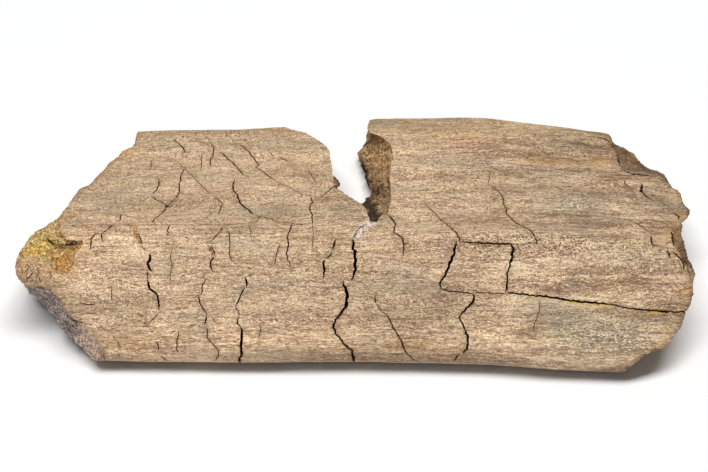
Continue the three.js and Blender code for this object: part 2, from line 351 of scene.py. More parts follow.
def dense_outline(outline, step, jitter):
    """Points every step along an outline, each as x, girth and slip, with small jitter."""
    spots = [tuple(p) + (EDGE_ON if len(p) == 2 else ()) for p in outline]
    dense = []
    for a, b in zip(spots, spots[1:]):
        count = max(1, round(math.hypot(b[0] - a[0], b[1] - a[1]) / step))
        for k in range(count):
            dense.append([p + (q - p) * k / count for p, q in zip(a, b)])
    dense.append(list(spots[-1]))
    for spot in dense[2:-2]:
        x, girth = spot[:2]
        spot[0] += jitter * (skin_noise(x, girth, 1, 1.3, 3) + skin_noise(x, girth, 0.6, 0.5, 8))
        spot[1] += jitter * skin_noise(x, girth, 1, 1.2, 15)
    return dense


def make_break_cutter(name, outline, corners, finish, materials, foot, knobs=()):
    """A prism over the lost bone; its wall leans by the slip and is rough like a fracture."""
    foot_height, undercut = foot
    dense = dense_outline(outline, OUTLINE_STEP, OUTLINE_JITTER)
    tops = [skin(x, girth) for x, girth, *_ in dense]
    slips = [spot[2:] for spot in dense]
    places = [spot[:2] for spot in dense]
    for x, y in corners:
        tops.append(Vector((x, y, CORNER_HEIGHT)))
        slips.append((0, 0))
        places.append((x, OFF_THE_BONE))
    sides = len(tops)
    area = sum(a.x * b.y - b.x * a.y for a, b in zip(tops, tops[1:] + tops[:1]))
    outwards = 1 if area > 0 else -1
    bm, cells = tube(sides, WALL_LEVELS + 2)
    girths = {}
    for v, side, level in cells:
        top = tops[side]
        slip_x, slip_y = slips[side]
        share = (level - 1) / WALL_LEVELS
        height = top.z * min(1, max(0, share))
        drop = top.z - height
        toe = max(0, min(foot_height, FOOT_SHARE * top.z) - height)
        leaning = drop - toe
        spot = Vector((top.x + slip_x * leaning, top.y + slip_y * leaning, height))
        if side < len(dense):
            before, after = tops[side - 1], tops[(side + 1) % sides]
            along = Vector((after.x - before.x, after.y - before.y, 0)).normalized()
            into_bone = Vector((along.y, -along.x, 0)) * outwards
            deep = float(smooth(drop, 0.1, 4))
            coarse = WALL_BITE * deep * (0.4 + 0.9 * noise.noise(spot / COARSE_SIZE))
            grit = (0.12 + 0.5 * deep) * noise.noise(spot / GRIT_SIZE)
            crumbs = (0.05 + 0.25 * deep) * noise.noise(spot / CRUMB_SIZE + CRUMB_SHIFT)
            push = coarse + grit + crumbs
            push += undercut * toe**2 / (toe + UNDERCUT_ROUND)
            for x, girth, knob_drop, reach, knob in knobs:
                away = math.hypot(places[side][0] - x, places[side][1] - girth)
                away = math.hypot(away, drop - knob_drop) / reach
                push -= knob * (1 - float(smooth(away))) if drop > 0.4 else 0
            spot += into_bone * push
        if level == 0:
            spot.z = CUT_BOTTOM
        elif level == WALL_LEVELS + 2:
            spot.z = CUT_TOP
        v.co = spot
        girths[v] = places[side][1]
    for face in bm.faces:
        near = [girths[v] for v in face.verts]
        face.material_index = finish(sum(near) / len(near))
    return finish_mesh(name, bm, None, materials)


# ---------------------------------------------------------------- scars: shallow lost skin

YELLOW_SCAR = (
    (-87.2, 8), (-86.3, 4.5), (-85.7, 1.2), (-83.8, -1.4), (-81.3, -1.6), (-78.9, -1.2),
    (-79.4, -3.7), (-81.1, -5.6), (-81.6, -8.4), (-82.2, -10.9), (-84, -12.2),
    (-85.8, -11.1), (-88.2, -10.5), (-88.8, -9), (-90.3, -7.5), (-94.2, -7.2),
    (-98.1, -7.8), (-103, -8), (-103, 7), (-92, 14), (-87.6, 10),
)
WORN_CORNER = (
    (79.6, 46.8), (80.2, 44), (80.8, 41.5), (80.9, 37.6), (81.6, 36), (82.6, 34.7),
    (84.1, 34), (85.5, 33.9), (88.2, 34), (91, 33), (94, 31), (99, 29), (100, 38),
    (92, 48), (80, 54),
)
SPLINTERED_EDGE = (
    (93.2, 8.4), (93.4, 5.5), (92.8, 1.8), (92.7, -0.3), (94.5, -3.2), (95.3, -6.8),
    (99, -8), (100, 9),
)
SPLINTERED_PLATE = ((86.5, 3.6), (86.3, -0.3), (86.8, -1.2), (89.6, -1.7), (92.9, -0.6),
                    (93, 3.4), (90.5, 4.4))
SCAR_STEP = 0.42
SCAR_MARGIN = 1.6
SCAR_RIM = 0.45
SCAR_LIFT = 5.0


def signed_distance(points, outline):
    """Distance from (x, girth) points to a closed outline, positive inside it."""
    points = np.asarray(points, float)
    starts = np.array(outline, float)
    ends = np.roll(starts, -1, axis=0)
    away = line_distance(points, starts, ends)
    inside = np.zeros(len(points), bool)
    for (x0, g0), (x1, g1) in zip(starts, ends):
        spans = (g0 > points[:, 1]) != (g1 > points[:, 1])
        if g1 != g0:
            crossing = x0 + (points[:, 1] - g0) * (x1 - x0) / (g1 - g0)
            inside ^= spans & (points[:, 0] < crossing)
    return np.where(inside, away, -away)


def line_distance(points, starts, ends):
    """Least distance from each point to a set of straight lengths."""
    nearest = np.full(len(points), 1e6)
    for start, end in zip(starts, ends):
        along = end - start
        share = np.clip((points - start) @ along / max(along @ along, 1e-9), 0, 1)
        away = np.linalg.norm(points - start - share[:, None] * along, axis=1)
        nearest = np.minimum(nearest, away)
    return nearest


def make_scar_cutter(name, outline, depth_at, finish, materials):
    """A slab above the skin whose rough underside dips into it inside the outline."""
    xs, girths = zip(*outline)
    low_x, high_x = min(xs) - SCAR_MARGIN, max(xs) + SCAR_MARGIN
    low_girth, high_girth = min(girths) - SCAR_MARGIN, max(girths) + SCAR_MARGIN
    columns = round((high_x - low_x) / SCAR_STEP)
    rows = round((high_girth - low_girth) / SCAR_STEP)
    bm, cells = lattice(columns, rows)
    spots = [(low_x + (high_x - low_x) * column / columns,
              low_girth + (high_girth - low_girth) * row / rows) for _, column, row in cells]
    inside = signed_distance(spots, outline)
    for (v, _, _), (x, girth), inset in zip(cells, spots, inside):
        inset += skin_noise(x, girth, 0.35, 0.9, 2)
        dip = depth_at(x, girth, inset) * float(smooth(inset, -0.05, SCAR_RIM))
        rise = min(0.9, max(0, -inset) * 1.5)
        v.co = skin(x, girth, rise - dip)
    roof = bmesh.ops.extrude_face_region(bm, geom=bm.faces[:])
    raised = [item for item in roof["geom"] if isinstance(item, bmesh.types.BMVert)]
    middle_x, middle_girth = (low_x + high_x) / 2, (low_girth + high_girth) / 2
    up = skin(middle_x, middle_girth, SCAR_LIFT) - skin(middle_x, middle_girth)
    bmesh.ops.translate(bm, vec=up, verts=raised)
    return finish_mesh(name, bm, finish, materials)


def yellow_scar_depth(x, girth, _):
    hollow = 0.8 * bell(x, girth, (-84.5, -3.2, 5, 1.5))
    channel = 1.0 * bell(x, girth, (-88, -4.8, 4, 2.4))
    lumps = skin_noise(x, girth, 0.75, 2.6, 0) + skin_noise(x, girth, 0.45, 1, 4)
    crumbs = skin_noise(x, girth, 0.22, 0.45, 9)
    shallow = float(smooth(girth, -8.5, -2)) if x < -88 else 1.0
    return (0.15 + shallow) * (1 + hollow + channel + lumps) + crumbs


def rough_depth(rim, growth, *roughness):
    """A rule for a scar's depth: at its rim, more with each millimetre inwards, and rough."""
    def depth_at(x, girth, inset):
        rough = sum(skin_noise(x, girth, *part) for part in roughness)
        return rim + growth * max(0, inset) + rough
    return depth_at


# ---------------------------------------------------------------- cracks

# Each crack: widths along it, then its places as (x, girth).
CRACKS = (
    # back left
    ((0.22, 0.38), (-56.1, 47.3), (-54.8, 45.4), (-53, 43), (-51.7, 40.8), (-52.1, 40.2)),
    ((0.16,), (-52.9, 34.7), (-49.8, 30.1), (-46.5, 25), (-43.5, 20.7)),
    ((0.25,), (-41.5, 18.6), (-39.2, 15.9), (-39.4, 14.2), (-40, 10.2)),
    ((0.2,), (-42, 7.3), (-42.2, 5.5)),
    ((0.3,), (-44.2, 45), (-43.1, 42), (-43.2, 39), (-43.9, 36.4), (-43.5, 33)),
    ((0.22,), (-46.7, 39.3), (-46.5, 36.1), (-46.5, 32.7)),
    ((0.32,), (-41, 40.3), (-38.9, 37.3), (-37, 35), (-35.4, 32.5), (-33.3, 28.8)),
    ((0.32, 0.35, 0.22), (-35, 43.8), (-33.1, 41.4), (-31.4, 38.6), (-29, 33.7),
     (-29.5, 32.2), (-27.3, 30.1), (-25.2, 27.7), (-23.6, 26.3)),
    ((0.16,), (-23.2, 26), (-21.9, 24.7), (-19.5, 23.3), (-15.4, 19.8), (-13.2, 18.7)),
    ((0.2,), (-26.4, 40.9), (-25, 38.7), (-24.5, 37.8)),
    ((0.3,), (-22.6, 37.3), (-21, 36.1), (-19.8, 35)),
    ((0.14,), (-14, 31.3), (-11.4, 25.3)),
    ((0.38, 0.2), (-5.9, 23.4), (-7.2, 21.4), (-8.4, 20.4), (-10.1, 18.2)),
    ((0.36,), (-13, 18.6), (-12.6, 16.9), (-12.2, 15.9), (-13.2, 13.7), (-13, 11.4),
     (-12.4, 9.5), (-12.3, 7), (-12.1, 4.8)),
    ((0.15,), (-12.1, 4.6), (-11.8, 0.5), (-12, -4)),
    ((0.36,), (-59.1, 27.5), (-58.8, 25), (-59.4, 22.5), (-60.3, 20.5)),
    ((0.3,), (-60.5, 19.5), (-58.2, 17.1), (-56.4, 16.1), (-55.6, 14.5)),
    ((0.3,), (-55.6, 14), (-57.1, 10.6), (-58.8, 8.1), (-59.3, 6)),
    ((0.32,), (-51.7, 32.4), (-52.2, 30.1), (-52.5, 28.1), (-52.3, 26.5), (-52.6, 24.5),
     (-52.4, 21.8), (-53, 19), (-54.1, 17.4), (-55.3, 15.2)),
    ((0.2,), (-62, 36.7), (-61.8, 32.2)),
    ((0.3, 0.5, 0.55), (-36.1, 27), (-36.4, 24), (-36.2, 22.2), (-35, 20), (-34.3, 17.6),
     (-33.7, 15.3), (-32.4, 13.7), (-30.9, 11.6), (-29.6, 10)),
    ((0.22,), (-29.6, 10), (-27.7, 8.8), (-28, 7.6), (-28.5, 6.4), (-31, 5.4)),
    ((0.2,), (-27.7, 8.8), (-25, 8), (-23.9, 7.4), (-23.2, 6.1), (-19, 5.6), (-17.3, 4.7),
     (-12.1, 4.7)),
    ((0.16,), (-30.8, 4.8), (-30.3, 2.2), (-30, -0.4)),
    ((0.38,), (-69, 10.5), (-68.9, 8.5), (-68.9, 6.9)),
    ((0.44, 0.3, 0.22), (-70.7, 5.2), (-71.5, 3.9), (-72.6, 2.3), (-73.8, 0.8),
     (-73.6, -0.6), (-73.1, -1.8)),
    ((0.36,), (-74.4, 1), (-75.3, 1.1), (-76.8, -1.2), (-76.5, -2.8), (-76.8, -4.4)),
    # front left
    ((0.25, 0.4), (-63.2, 1.6), (-62.3, -0.6), (-61.6, -2.6)),
    ((0.2,), (-62.1, -2.7), (-60.6, -4.5)),
    ((0.75,), (-58.9, -5.6), (-59.2, -7.1), (-59.8, -8.7), (-59.2, -10), (-58.6, -10.8)),
    ((0.3,), (-59.6, -10.5), (-59.8, -13.3)),
    ((0.75, 0.4), (-59.8, -13.3), (-59.5, -15), (-59, -16), (-57.6, -16.9),
     (-56.9, -18), (-56.5, -19.6), (-56.5, -22)),
    ((0.18,), (-56.9, -23), (-57.8, -24.3), (-59.3, -25.6)),
    ((0.42,), (-57.9, -31.6), (-57, -32.2), (-57, -34.4)),
    ((0.3,), (-56.4, -37), (-54.8, -39.7)),
    ((0.36,), (-54, 5.1), (-54.4, 2.4), (-54.3, 0.3)),
    ((0.17,), (-52.5, -4.1), (-53.1, -5.4), (-53.3, -7.1), (-52.7, -9.2), (-53.1, -11.1),
     (-53.1, -13.5)),
    ((0.26,), (-50.8, -28.2), (-50.9, -29.6), (-51.4, -31.4), (-51.6, -33.8),
     (-51.2, -35.4)),
    ((0.2,), (-69, -31.6), (-67.6, -34.2)),
    ((0.25,), (-69, -35.6), (-68.2, -37.8)),
    ((0.26,), (-79.5, -20.2), (-77, -20.6), (-74.5, -20.4)),
    ((0.2,), (-70.1, -15), (-70.2, -19.5)),
    ((0.2,), (-95.1, -8.6), (-95.5, -10.2)),
    ((0.24,), (-93.2, -11), (-94.1, -12.6), (-95.4, -13.6)),
    ((0.2,), (-88.3, -10.6), (-87.8, -12.4), (-88.6, -13.6)),
    ((0.22,), (-91.8, -12.2), (-91, -13.8)),
    ((0.14,), (-92.3, -9.2), (-91.6, -11.2), (-92.4, -13)),
    ((0.12,), (-96.9, -9), (-96.3, -11.4), (-96.9, -13)),
    ((0.16,), (-95, -8.3), (-94.6, -10), (-96, -11.8)),
    ((0.14,), (-94.6, -10), (-95.3, -12.6), (-93.8, -13)),
    ((0.75, 0.6), (-38.5, 3.6), (-38.9, 2.2)),
    ((0.22,), (-38.9, 2.2), (-40, 0.3), (-41.2, -1.2), (-42.3, -2.4)),
    ((0.3,), (-41.7, -3.4), (-40.8, -4.5), (-40.3, -5.6), (-40.2, -6.6)),
    ((0.42,), (-40.5, -6.6), (-41.6, -8), (-41.4, -9.5), (-40.8, -10.6)),
    ((0.26,), (-42.7, -11), (-43.8, -12.6)),
    ((0.3,), (-42.8, -13.2), (-44, -15), (-43.9, -16.5), (-44.3, -17.8)),
    ((0.42, 0.26), (-45.1, -17.8), (-44.5, -20), (-43.6, -21.9), (-42.5, -23.4)),
    ((0.42,), (-42.5, -23.6), (-43, -25), (-43.4, -26.6)),
    ((0.2,), (-41.4, -24), (-40.1, -25.7)),
    ((0.26,), (-42.8, -27.2), (-42.5, -28.8), (-42.7, -30), (-41.8, -31.6),
     (-40.5, -32.9), (-39.5, -34.4), (-39.6, -36.4), (-40.5, -39)),
    ((0.22,), (-36.9, 2.5), (-36.2, 0), (-36.1, -3.4), (-36.2, -5.8), (-35.5, -7.9)),
    ((0.22,), (-21.6, -2.8), (-22.3, -5), (-22.6, -7.3), (-23.2, -9.2)),
    ((0.38, 0.22), (-18, 4.9), (-18.6, 2.7), (-19.3, 0.4), (-19.2, -1.4), (-19.1, -3),
     (-19.5, -5.2), (-19.3, -7.1), (-18.4, -9), (-18.4, -10.2)),
    ((0.65,), (-31.5, -12.6), (-31.1, -14.1), (-31.3, -15.4)),
    ((0.36,), (-31.5, -15.4), (-32.5, -17.4), (-33.4, -19.3), (-34.3, -20.9)),
    ((0.5,), (-33.3, -24.1), (-33.9, -26), (-32.9, -27.2)),
    ((0.6, 0.75, 0.6), (-32.9, -27.2), (-32.5, -28.2), (-32.6, -30.3), (-32.9, -33.4),
     (-32.8, -36.8), (-33.5, -38), (-33.3, -41)),
    ((0.16,), (-27.3, -26.3), (-27, -27.5), (-27.5, -30.3)),
    # seam along the crest, and the undercut lip of the yellow scar
    ((0.1,), (-83.4, 4.7), (-76, 5), (-70.4, 4.9)),
    ((0.1,), (-67.6, 4.9), (-60, 4.8), (-52, 4.9)),
    ((0.12,), (-45.6, 4.8), (-38.6, 5), (-32, 4.9)),
    ((0.3,), (-83.3, -24.6), (-80.9, -25.4), (-78.6, -25.8)),
    # middle
    ((0.2, 0.3), (3.4, 4.9), (1.6, 3.2), (0.4, 1), (-0.2, -0.8)),
    ((0.62,), (-5.3, -1.4), (-5.8, -2.7), (-6, -4.4)),
    ((0.36,), (-6.2, -5), (-7, -6.2), (-8.2, -7.2)),
    ((0.6, 0.6, 0.25), (-8.5, -7.6), (-9, -8.5), (-8.6, -10), (-8.6, -11.7), (-9, -13.2)),
    ((0.6, 0.85, 0.8, 0.4), (-0.3, -1.1), (-0.4, -3.1), (0.1, -5.1), (0.4, -7.4),
     (0.3, -10), (0, -11.7), (-0.8, -13.4)),
    ((0.4, 0.95, 0.9, 0.55, 0.5, 0.65, 0.8, 0.8), (-2.9, -13.7), (-3.2, -14.6),
     (-2.4, -16), (-2, -17.8), (-2.1, -19.9), (-2.8, -21.9), (-3.9, -23.4),
     (-5.2, -24.9), (-5.9, -26.3), (-5.8, -27.8), (-4.7, -29.8), (-3, -32.2),
     (-0.5, -34.7), (-0.3, -37), (0, -41)),
    # right of the notch
    ((0.3, 0.5, 0.5, 0.4), (9.3, 10.2), (10.4, 9.4), (11.2, 7.8), (11.9, 6), (12.2, 5.4),
     (11.8, 4.4)),
    ((0.4, 0.4, 0.3), (11.9, 4.8), (11.8, 2.7), (11.5, 1.7), (12.5, 1), (13.9, 0),
     (14.2, -0.6), (14.5, -2.9), (14.3, -5.1), (14.2, -6.2)),
    ((0.36,), (6.4, -17.5), (6.1, -18.7), (6.4, -20)),
    ((0.16,), (6.4, -20), (7.5, -21.9), (9.4, -23.3)),
    ((0.36, 0.42, 0.36), (9.4, -23.3), (10.3, -24.7), (11.4, -27.2), (12.9, -29.6),
     (13.9, -31.6), (14.5, -33.4), (15.2, -35), (16.7, -37.5), (17.8, -39.2)),
    ((0.2, 0.3, 0.42), (21.6, 14.6), (23.6, 11.8), (25.3, 8.6), (27.5, 5.3),
     (29.3, 2.2), (30.4, 0.3), (30.7, -0.4), (30.4, -1.4)),
    ((0.5, 0.85, 0.75, 0.6, 0.5, 0.6), (29.8, -1.2), (29.4, -3), (29.1, -5.1),
     (27.8, -7.3), (27.2, -9.3), (26.5, -11.2), (25.3, -12.8), (24.8, -14.1),
     (24.9, -15.5)),
    ((0.3,), (24.9, -15.4), (27.2, -15.9), (30.1, -16.3), (34.4, -16.6)),
    ((0.36,), (30.8, -1.5), (35, -1.5), (40.2, -1.7), (45.8, -1.7)),
    ((0.14,), (46, -1.8), (53, -1.6)),
    ((0.7, 0.7, 0.45, 0.5, 0.6), (45.6, -1.8), (46.3, -3.3), (46, -4.2), (45.6, -4.9),
     (45.8, -5.7), (45.2, -7.2), (44.9, -8.9), (44.3, -10.2), (44.3, -12.1),
     (44.1, -14.3), (43.8, -16)),
    ((0.18,), (35.1, -16.3), (40, -16.5), (43.8, -16.4)),
    ((0.22, 0.3, 0.36, 0.45), (41, 24.8), (42.6, 23), (43.7, 21.2), (44.5, 19),
     (44.4, 16.5), (44.6, 14.8), (45.2, 13.6), (44.8, 12.1), (45.6, 11), (46.8, 9.2),
     (47.8, 7.5), (49.2, 6), (50.2, 5), (51.2, 3.7), (52.1, 2.1), (52.8, 0.2),
     (53, -0.7), (52.7, -1.6)),
    ((0.14,), (41.3, 31), (40.3, 26)),
    ((0.7, 0.7, 0.4, 0.45, 0.8, 0.7), (34.4, -16.7), (34.8, -17.6), (34.3, -19),
     (33.1, -20.5), (31.4, -22.3), (30.4, -23.7), (31, -25), (32.1, -27), (32.7, -28.9),
     (33, -30.5), (33, -32.4), (32.3, -34), (31.7, -35)),
    ((0.5,), (30.9, -35.4), (30.2, -36.2), (29.2, -38.6)),
    ((0.36, 0.45, 0.58, 0.58, 0.5, 0.25, 0.5, 0.5, 0.5), (44, -16.2), (48, -16.4),
     (49.6, -16.3), (50.4, -16.8), (53.9, -16.9), (56.5, -17.2), (58.8, -17.4),
     (61.2, -17.9), (64.5, -18.3), (69.8, -18.6), (74.4, -19), (76.1, -19.5),
     (78.7, -19.9), (80.7, -20.1), (84.4, -20.2), (90, -20.5), (97, -20.3)),
    ((0.16,), (53.6, -18), (53.5, -21), (52.6, -24.3), (51.6, -27.5)),
)
# Cracks whose floor shows: along the lip of the yellow scar, and round the right end.
SHALLOW_CRACKS = (
    ((0.5, 0.8, 0.9, 0.7), (-90.4, 0.4), (-89.2, -0.9), (-88.2, -1.8), (-86.6, -2.4)),
    ((0.6, 0.9, 0.9, 0.6), (-85.6, -2.4), (-84, -2), (-82.8, -2.1), (-81, -1.8)),
    # right end
    ((0.4, 0.6, 0.4), (75.2, 50.4), (77.5, 50), (78.7, 49), (79.3, 47.6)),
    ((0.25, 0.4), (79.3, 47.4), (80, 45.2), (80.9, 42.8), (80.8, 41)),
    ((0.5, 0.9, 1, 0.9, 0.7, 0.5, 0.5), (80.7, 41), (81, 39.2), (81.4, 37), (82.2, 35.1),
     (83.4, 34), (84.6, 33.4), (86.6, 33.5), (88.5, 33.2), (90.8, 33)),
    ((0.3,), (81.6, 29.5), (82.5, 27)),
    ((0.25, 0.7, 0.7, 0.45, 0.3, 0.2), (86.7, 29.6), (87, 28), (86.6, 27), (86.4, 25.6),
     (87.2, 24.4), (88.2, 23), (89.4, 21.8), (90.6, 20.6)),
    ((0.14,), (84, 24.5), (84.9, 21)),
    ((0.12,), (82.2, 27.6), (84, 25.2), (84.6, 24)),
    ((0.12,), (88, 16.4), (90.6, 13.4), (92.2, 11.6)),
    ((0.12,), (87.2, 13.6), (88.6, 11.6)),
    ((0.12,), (90.2, 10.4), (92.6, 8.8)),
    ((0.12,), (88.6, 24.6), (90.6, 22.4), (92.6, 20.6), (94, 18.6)),
    ((0.1,), (90.4, 22.8), (93, 21.4)),
    ((0.12,), (82, 23.4), (84.6, 19.6), (86.6, 17.4)),
    ((0.14,), (89.6, 32.6), (91.4, 32.9), (93.2, 33.2)),
    ((0.16, 0.24), (86.8, 7.6), (89, 7.2), (91.4, 8), (93, 7.6)),
    ((0.14,), (94.2, 9.8), (94.6, 7.4), (94.4, 4.6)),
    ((0.2,), (93.9, 2.4), (94.4, 0.4), (94.2, -1.8)),
    ((0.14,), (96.2, -6.4), (97, -9.6), (97.2, -12)),
    ((0.12,), (93.8, -5), (94.6, -7.4), (95, -9.6)),
    ((0.3,), (80.9, 10.6), (83.2, 9.2), (84.4, 7.6), (85.5, 5.6), (86.6, 5)),
    ((0.4, 0.25), (86.4, 5), (88.4, 4.8)),
    ((0.45, 0.5, 0.4, 0.3), (86.4, 2.4), (86.3, -0.3), (86.8, -0.9), (88, -0.8),
     (89.8, -1.3)),
    ((0.3, 0.6, 0.5, 0.3), (94.6, 15.9), (95.6, 15.3), (96.1, 13.8), (95.9, 12)),
    ((0.3, 0.7, 0.6, 0.3), (92.8, 5.4), (92.8, 2), (92.7, 0.6), (92.6, -1.2)),
    ((0.3,), (93, -0.8), (94, -1), (95.2, -0.8)),
    ((0.4, 0.5), (91, -2.3), (91.2, -3.6), (91.5, -4.6)),
    ((0.25, 0.35, 0.6, 0.3), (92.1, -2.6), (93.5, -3.8), (94.5, -4.7), (95.2, -6.2),
     (95.3, -8.3)),
    ((0.3, 0.6, 0.4), (95, -3.4), (96, -5.2), (96.9, -6.8)),
    ((0.16,), (92.3, -5.6), (92.9, -7.4)),
    ((0.2,), (90, -10), (91, -8.8)),
    ((0.25,), (95.2, 31.6), (95.3, 29.6)),
    ((0.26,), (28.3, 22.2), (28.8, 23)),
    ((0.26,), (57.8, 19.4), (58.8, 19.8)),
)
# Small holes: x, girth, width.
PITS = (
    (-55.6, 14.5, 1.3), (-61.3, -23.8, 0.6), (-60.8, -26, 0.4), (-58.6, -28.5, 0.55),
    (-72.7, -5.1, 0.5), (77.6, 49.8, 0.7), (78.6, 48, 0.6), (86.6, 25.8, 0.9),
    (83, -7.9, 0.45), (82.3, -9.8, 0.4), (81.6, -10.5, 0.4), (90, -10, 0.4),
    (60.5, -10.5, 0.45), (22.5, 16.3, 0.5), (-85, 11.5, 0.5), (-84, 10.8, 0.4),
    (-82.6, 4.6, 0.7), (-86.8, 5.6, 0.4), (92.7, 1.2, 0.9), (86.6, 27.2, 1.1), (95.4, 30.6, 0.8),
    (-84.6, -2.2, 1.2), (-82, -1.9, 0.9), (-86.6, -2.4, 0.8),
)
PIT_ROUGHNESS, PIT_STRETCH = 0.35, 2.2
# Shallow cracks, filled again with brown crumbs.
FILLED_CRACKS = (
    ((1.1, 1.0, 0.8), (-64.2, 4.3), (-63.8, 0.8), (-62.7, -1.2), (-62.2, -2.7)),
    ((0.6, 0.9, 0.8), (-42.6, -2.8), (-41.8, -4.2), (-41.1, -5.4), (-40.7, -6.6)),
    ((0.5,), (-38.4, 2), (-39.6, 0.4), (-41, -1.2)),
    ((0.5,), (-34.4, -20.8), (-33.6, -22.4), (-33.3, -24)),
)
FILLED_DEPTH, SHALLOW_DEPTH, DEEPEST = 0.7, 2.6, 12.0
CRACK_STEP = 0.45
CRACK_TAPER, CRACK_TIP, TAPER_POWER = 1.3, 0.12, 0.6
CRACK_LIFT = 0.8
CRACK_DEPTH, CRACK_DEPTH_GROWTH, CRACK_DEPTH_POWER = 0.15, 9.0, 1.6
# Cross-section of a crack, from one lip round the bottom to the other: share of the
# half width, extra half width, share of the depth.
CRACK_PROFILE = ((-1, 0.35, None), (-1, 0.03, 0), (-0.85, 0, 0.12), (-0.6, 0, 0.5),
                 (-0.12, 0, 1), (0.12, 0, 1), (0.6, 0, 0.5), (0.85, 0, 0.12),
                 (1, 0.03, 0), (1, 0.35, None))


def resample(points, step):
    """Points every step along a path, with how far along it each one is."""
    points = np.array(points, float)
    walked = np.concatenate(([0], np.cumsum(np.linalg.norm(np.diff(points, axis=0), axis=1))))
    count = max(3, round(walked[-1] / step) + 1)
    along = np.linspace(0, walked[-1], count)
    path = np.stack([np.interp(along, walked, points[:, k]) for k in (0, 1)], axis=1)
    return path, along


def make_crack_cutter(name, widths, points, finish, deepest, materials):
    """A wedge that follows a path over the skin, deeper where the crack is wider."""
    path, along = resample(points, CRACK_STEP)
    total = along[-1]
    ahead = np.gradient(path, axis=0)
    ahead /= np.maximum(np.linalg.norm(ahead, axis=1, keepdims=True), 1e-6)
    across = np.stack((-ahead[:, 1], ahead[:, 0]), axis=1)
    width = np.interp(along / total, np.linspace(0, 1, len(widths)), widths)
    from_tip = np.minimum(along, total - along) + CRACK_TIP
    taper = np.minimum(1, from_tip / CRACK_TAPER) ** TAPER_POWER
    bm, cells = tube(len(CRACK_PROFILE), len(path) - 1)
    for v, side, ring in cells:
        x, girth = path[ring]
        wander = skin_noise(x, girth, 0.34, 1.1, 0) * min(1, width[ring] + 0.45)
        wander += skin_noise(x, girth, 0.12, 0.45, 7)
        half = 0.5 * width[ring] * taper[ring]
        bank = math.copysign(1, side - (len(CRACK_PROFILE) - 1) / 2)
        lip = 1 + skin_noise(x, girth, 0.75, 0.9, 20 * bank)
        share, extra, drop_share = CRACK_PROFILE[side]
        offset = wander + share * (half * lip) + math.copysign(extra, share)
        drop = CRACK_DEPTH + CRACK_DEPTH_GROWTH * width[ring] ** CRACK_DEPTH_POWER
        drop = min(drop, deepest) * taper[ring]
        lift = CRACK_LIFT if drop_share is None else -drop * drop_share
        if drop_share is not None and drop_share > 0.3:
            offset += skin_noise(x, girth, 0.25, 2, 30)
        v.co = skin(x + across[ring, 0] * offset, girth + across[ring, 1] * offset, lift)
    return finish_mesh(name, bm, finish, materials)


def make_pit_cutter(name, x, girth, width, materials):
    bm = bmesh.new()
    bmesh.ops.create_icosphere(bm, subdivisions=2, radius=0.5)
    for v in bm.verts:
        rough = 1 + PIT_ROUGHNESS * noise.noise(v.co * 3 + Vector((x, girth, 0)))
        spread = v.co * rough * width
        v.co = skin(x + spread.x, girth + spread.y, spread.z * PIT_STRETCH)
    return finish_mesh(name, bm, CRACK_WALL, materials)


# ---------------------------------------------------------------- stains and fillings

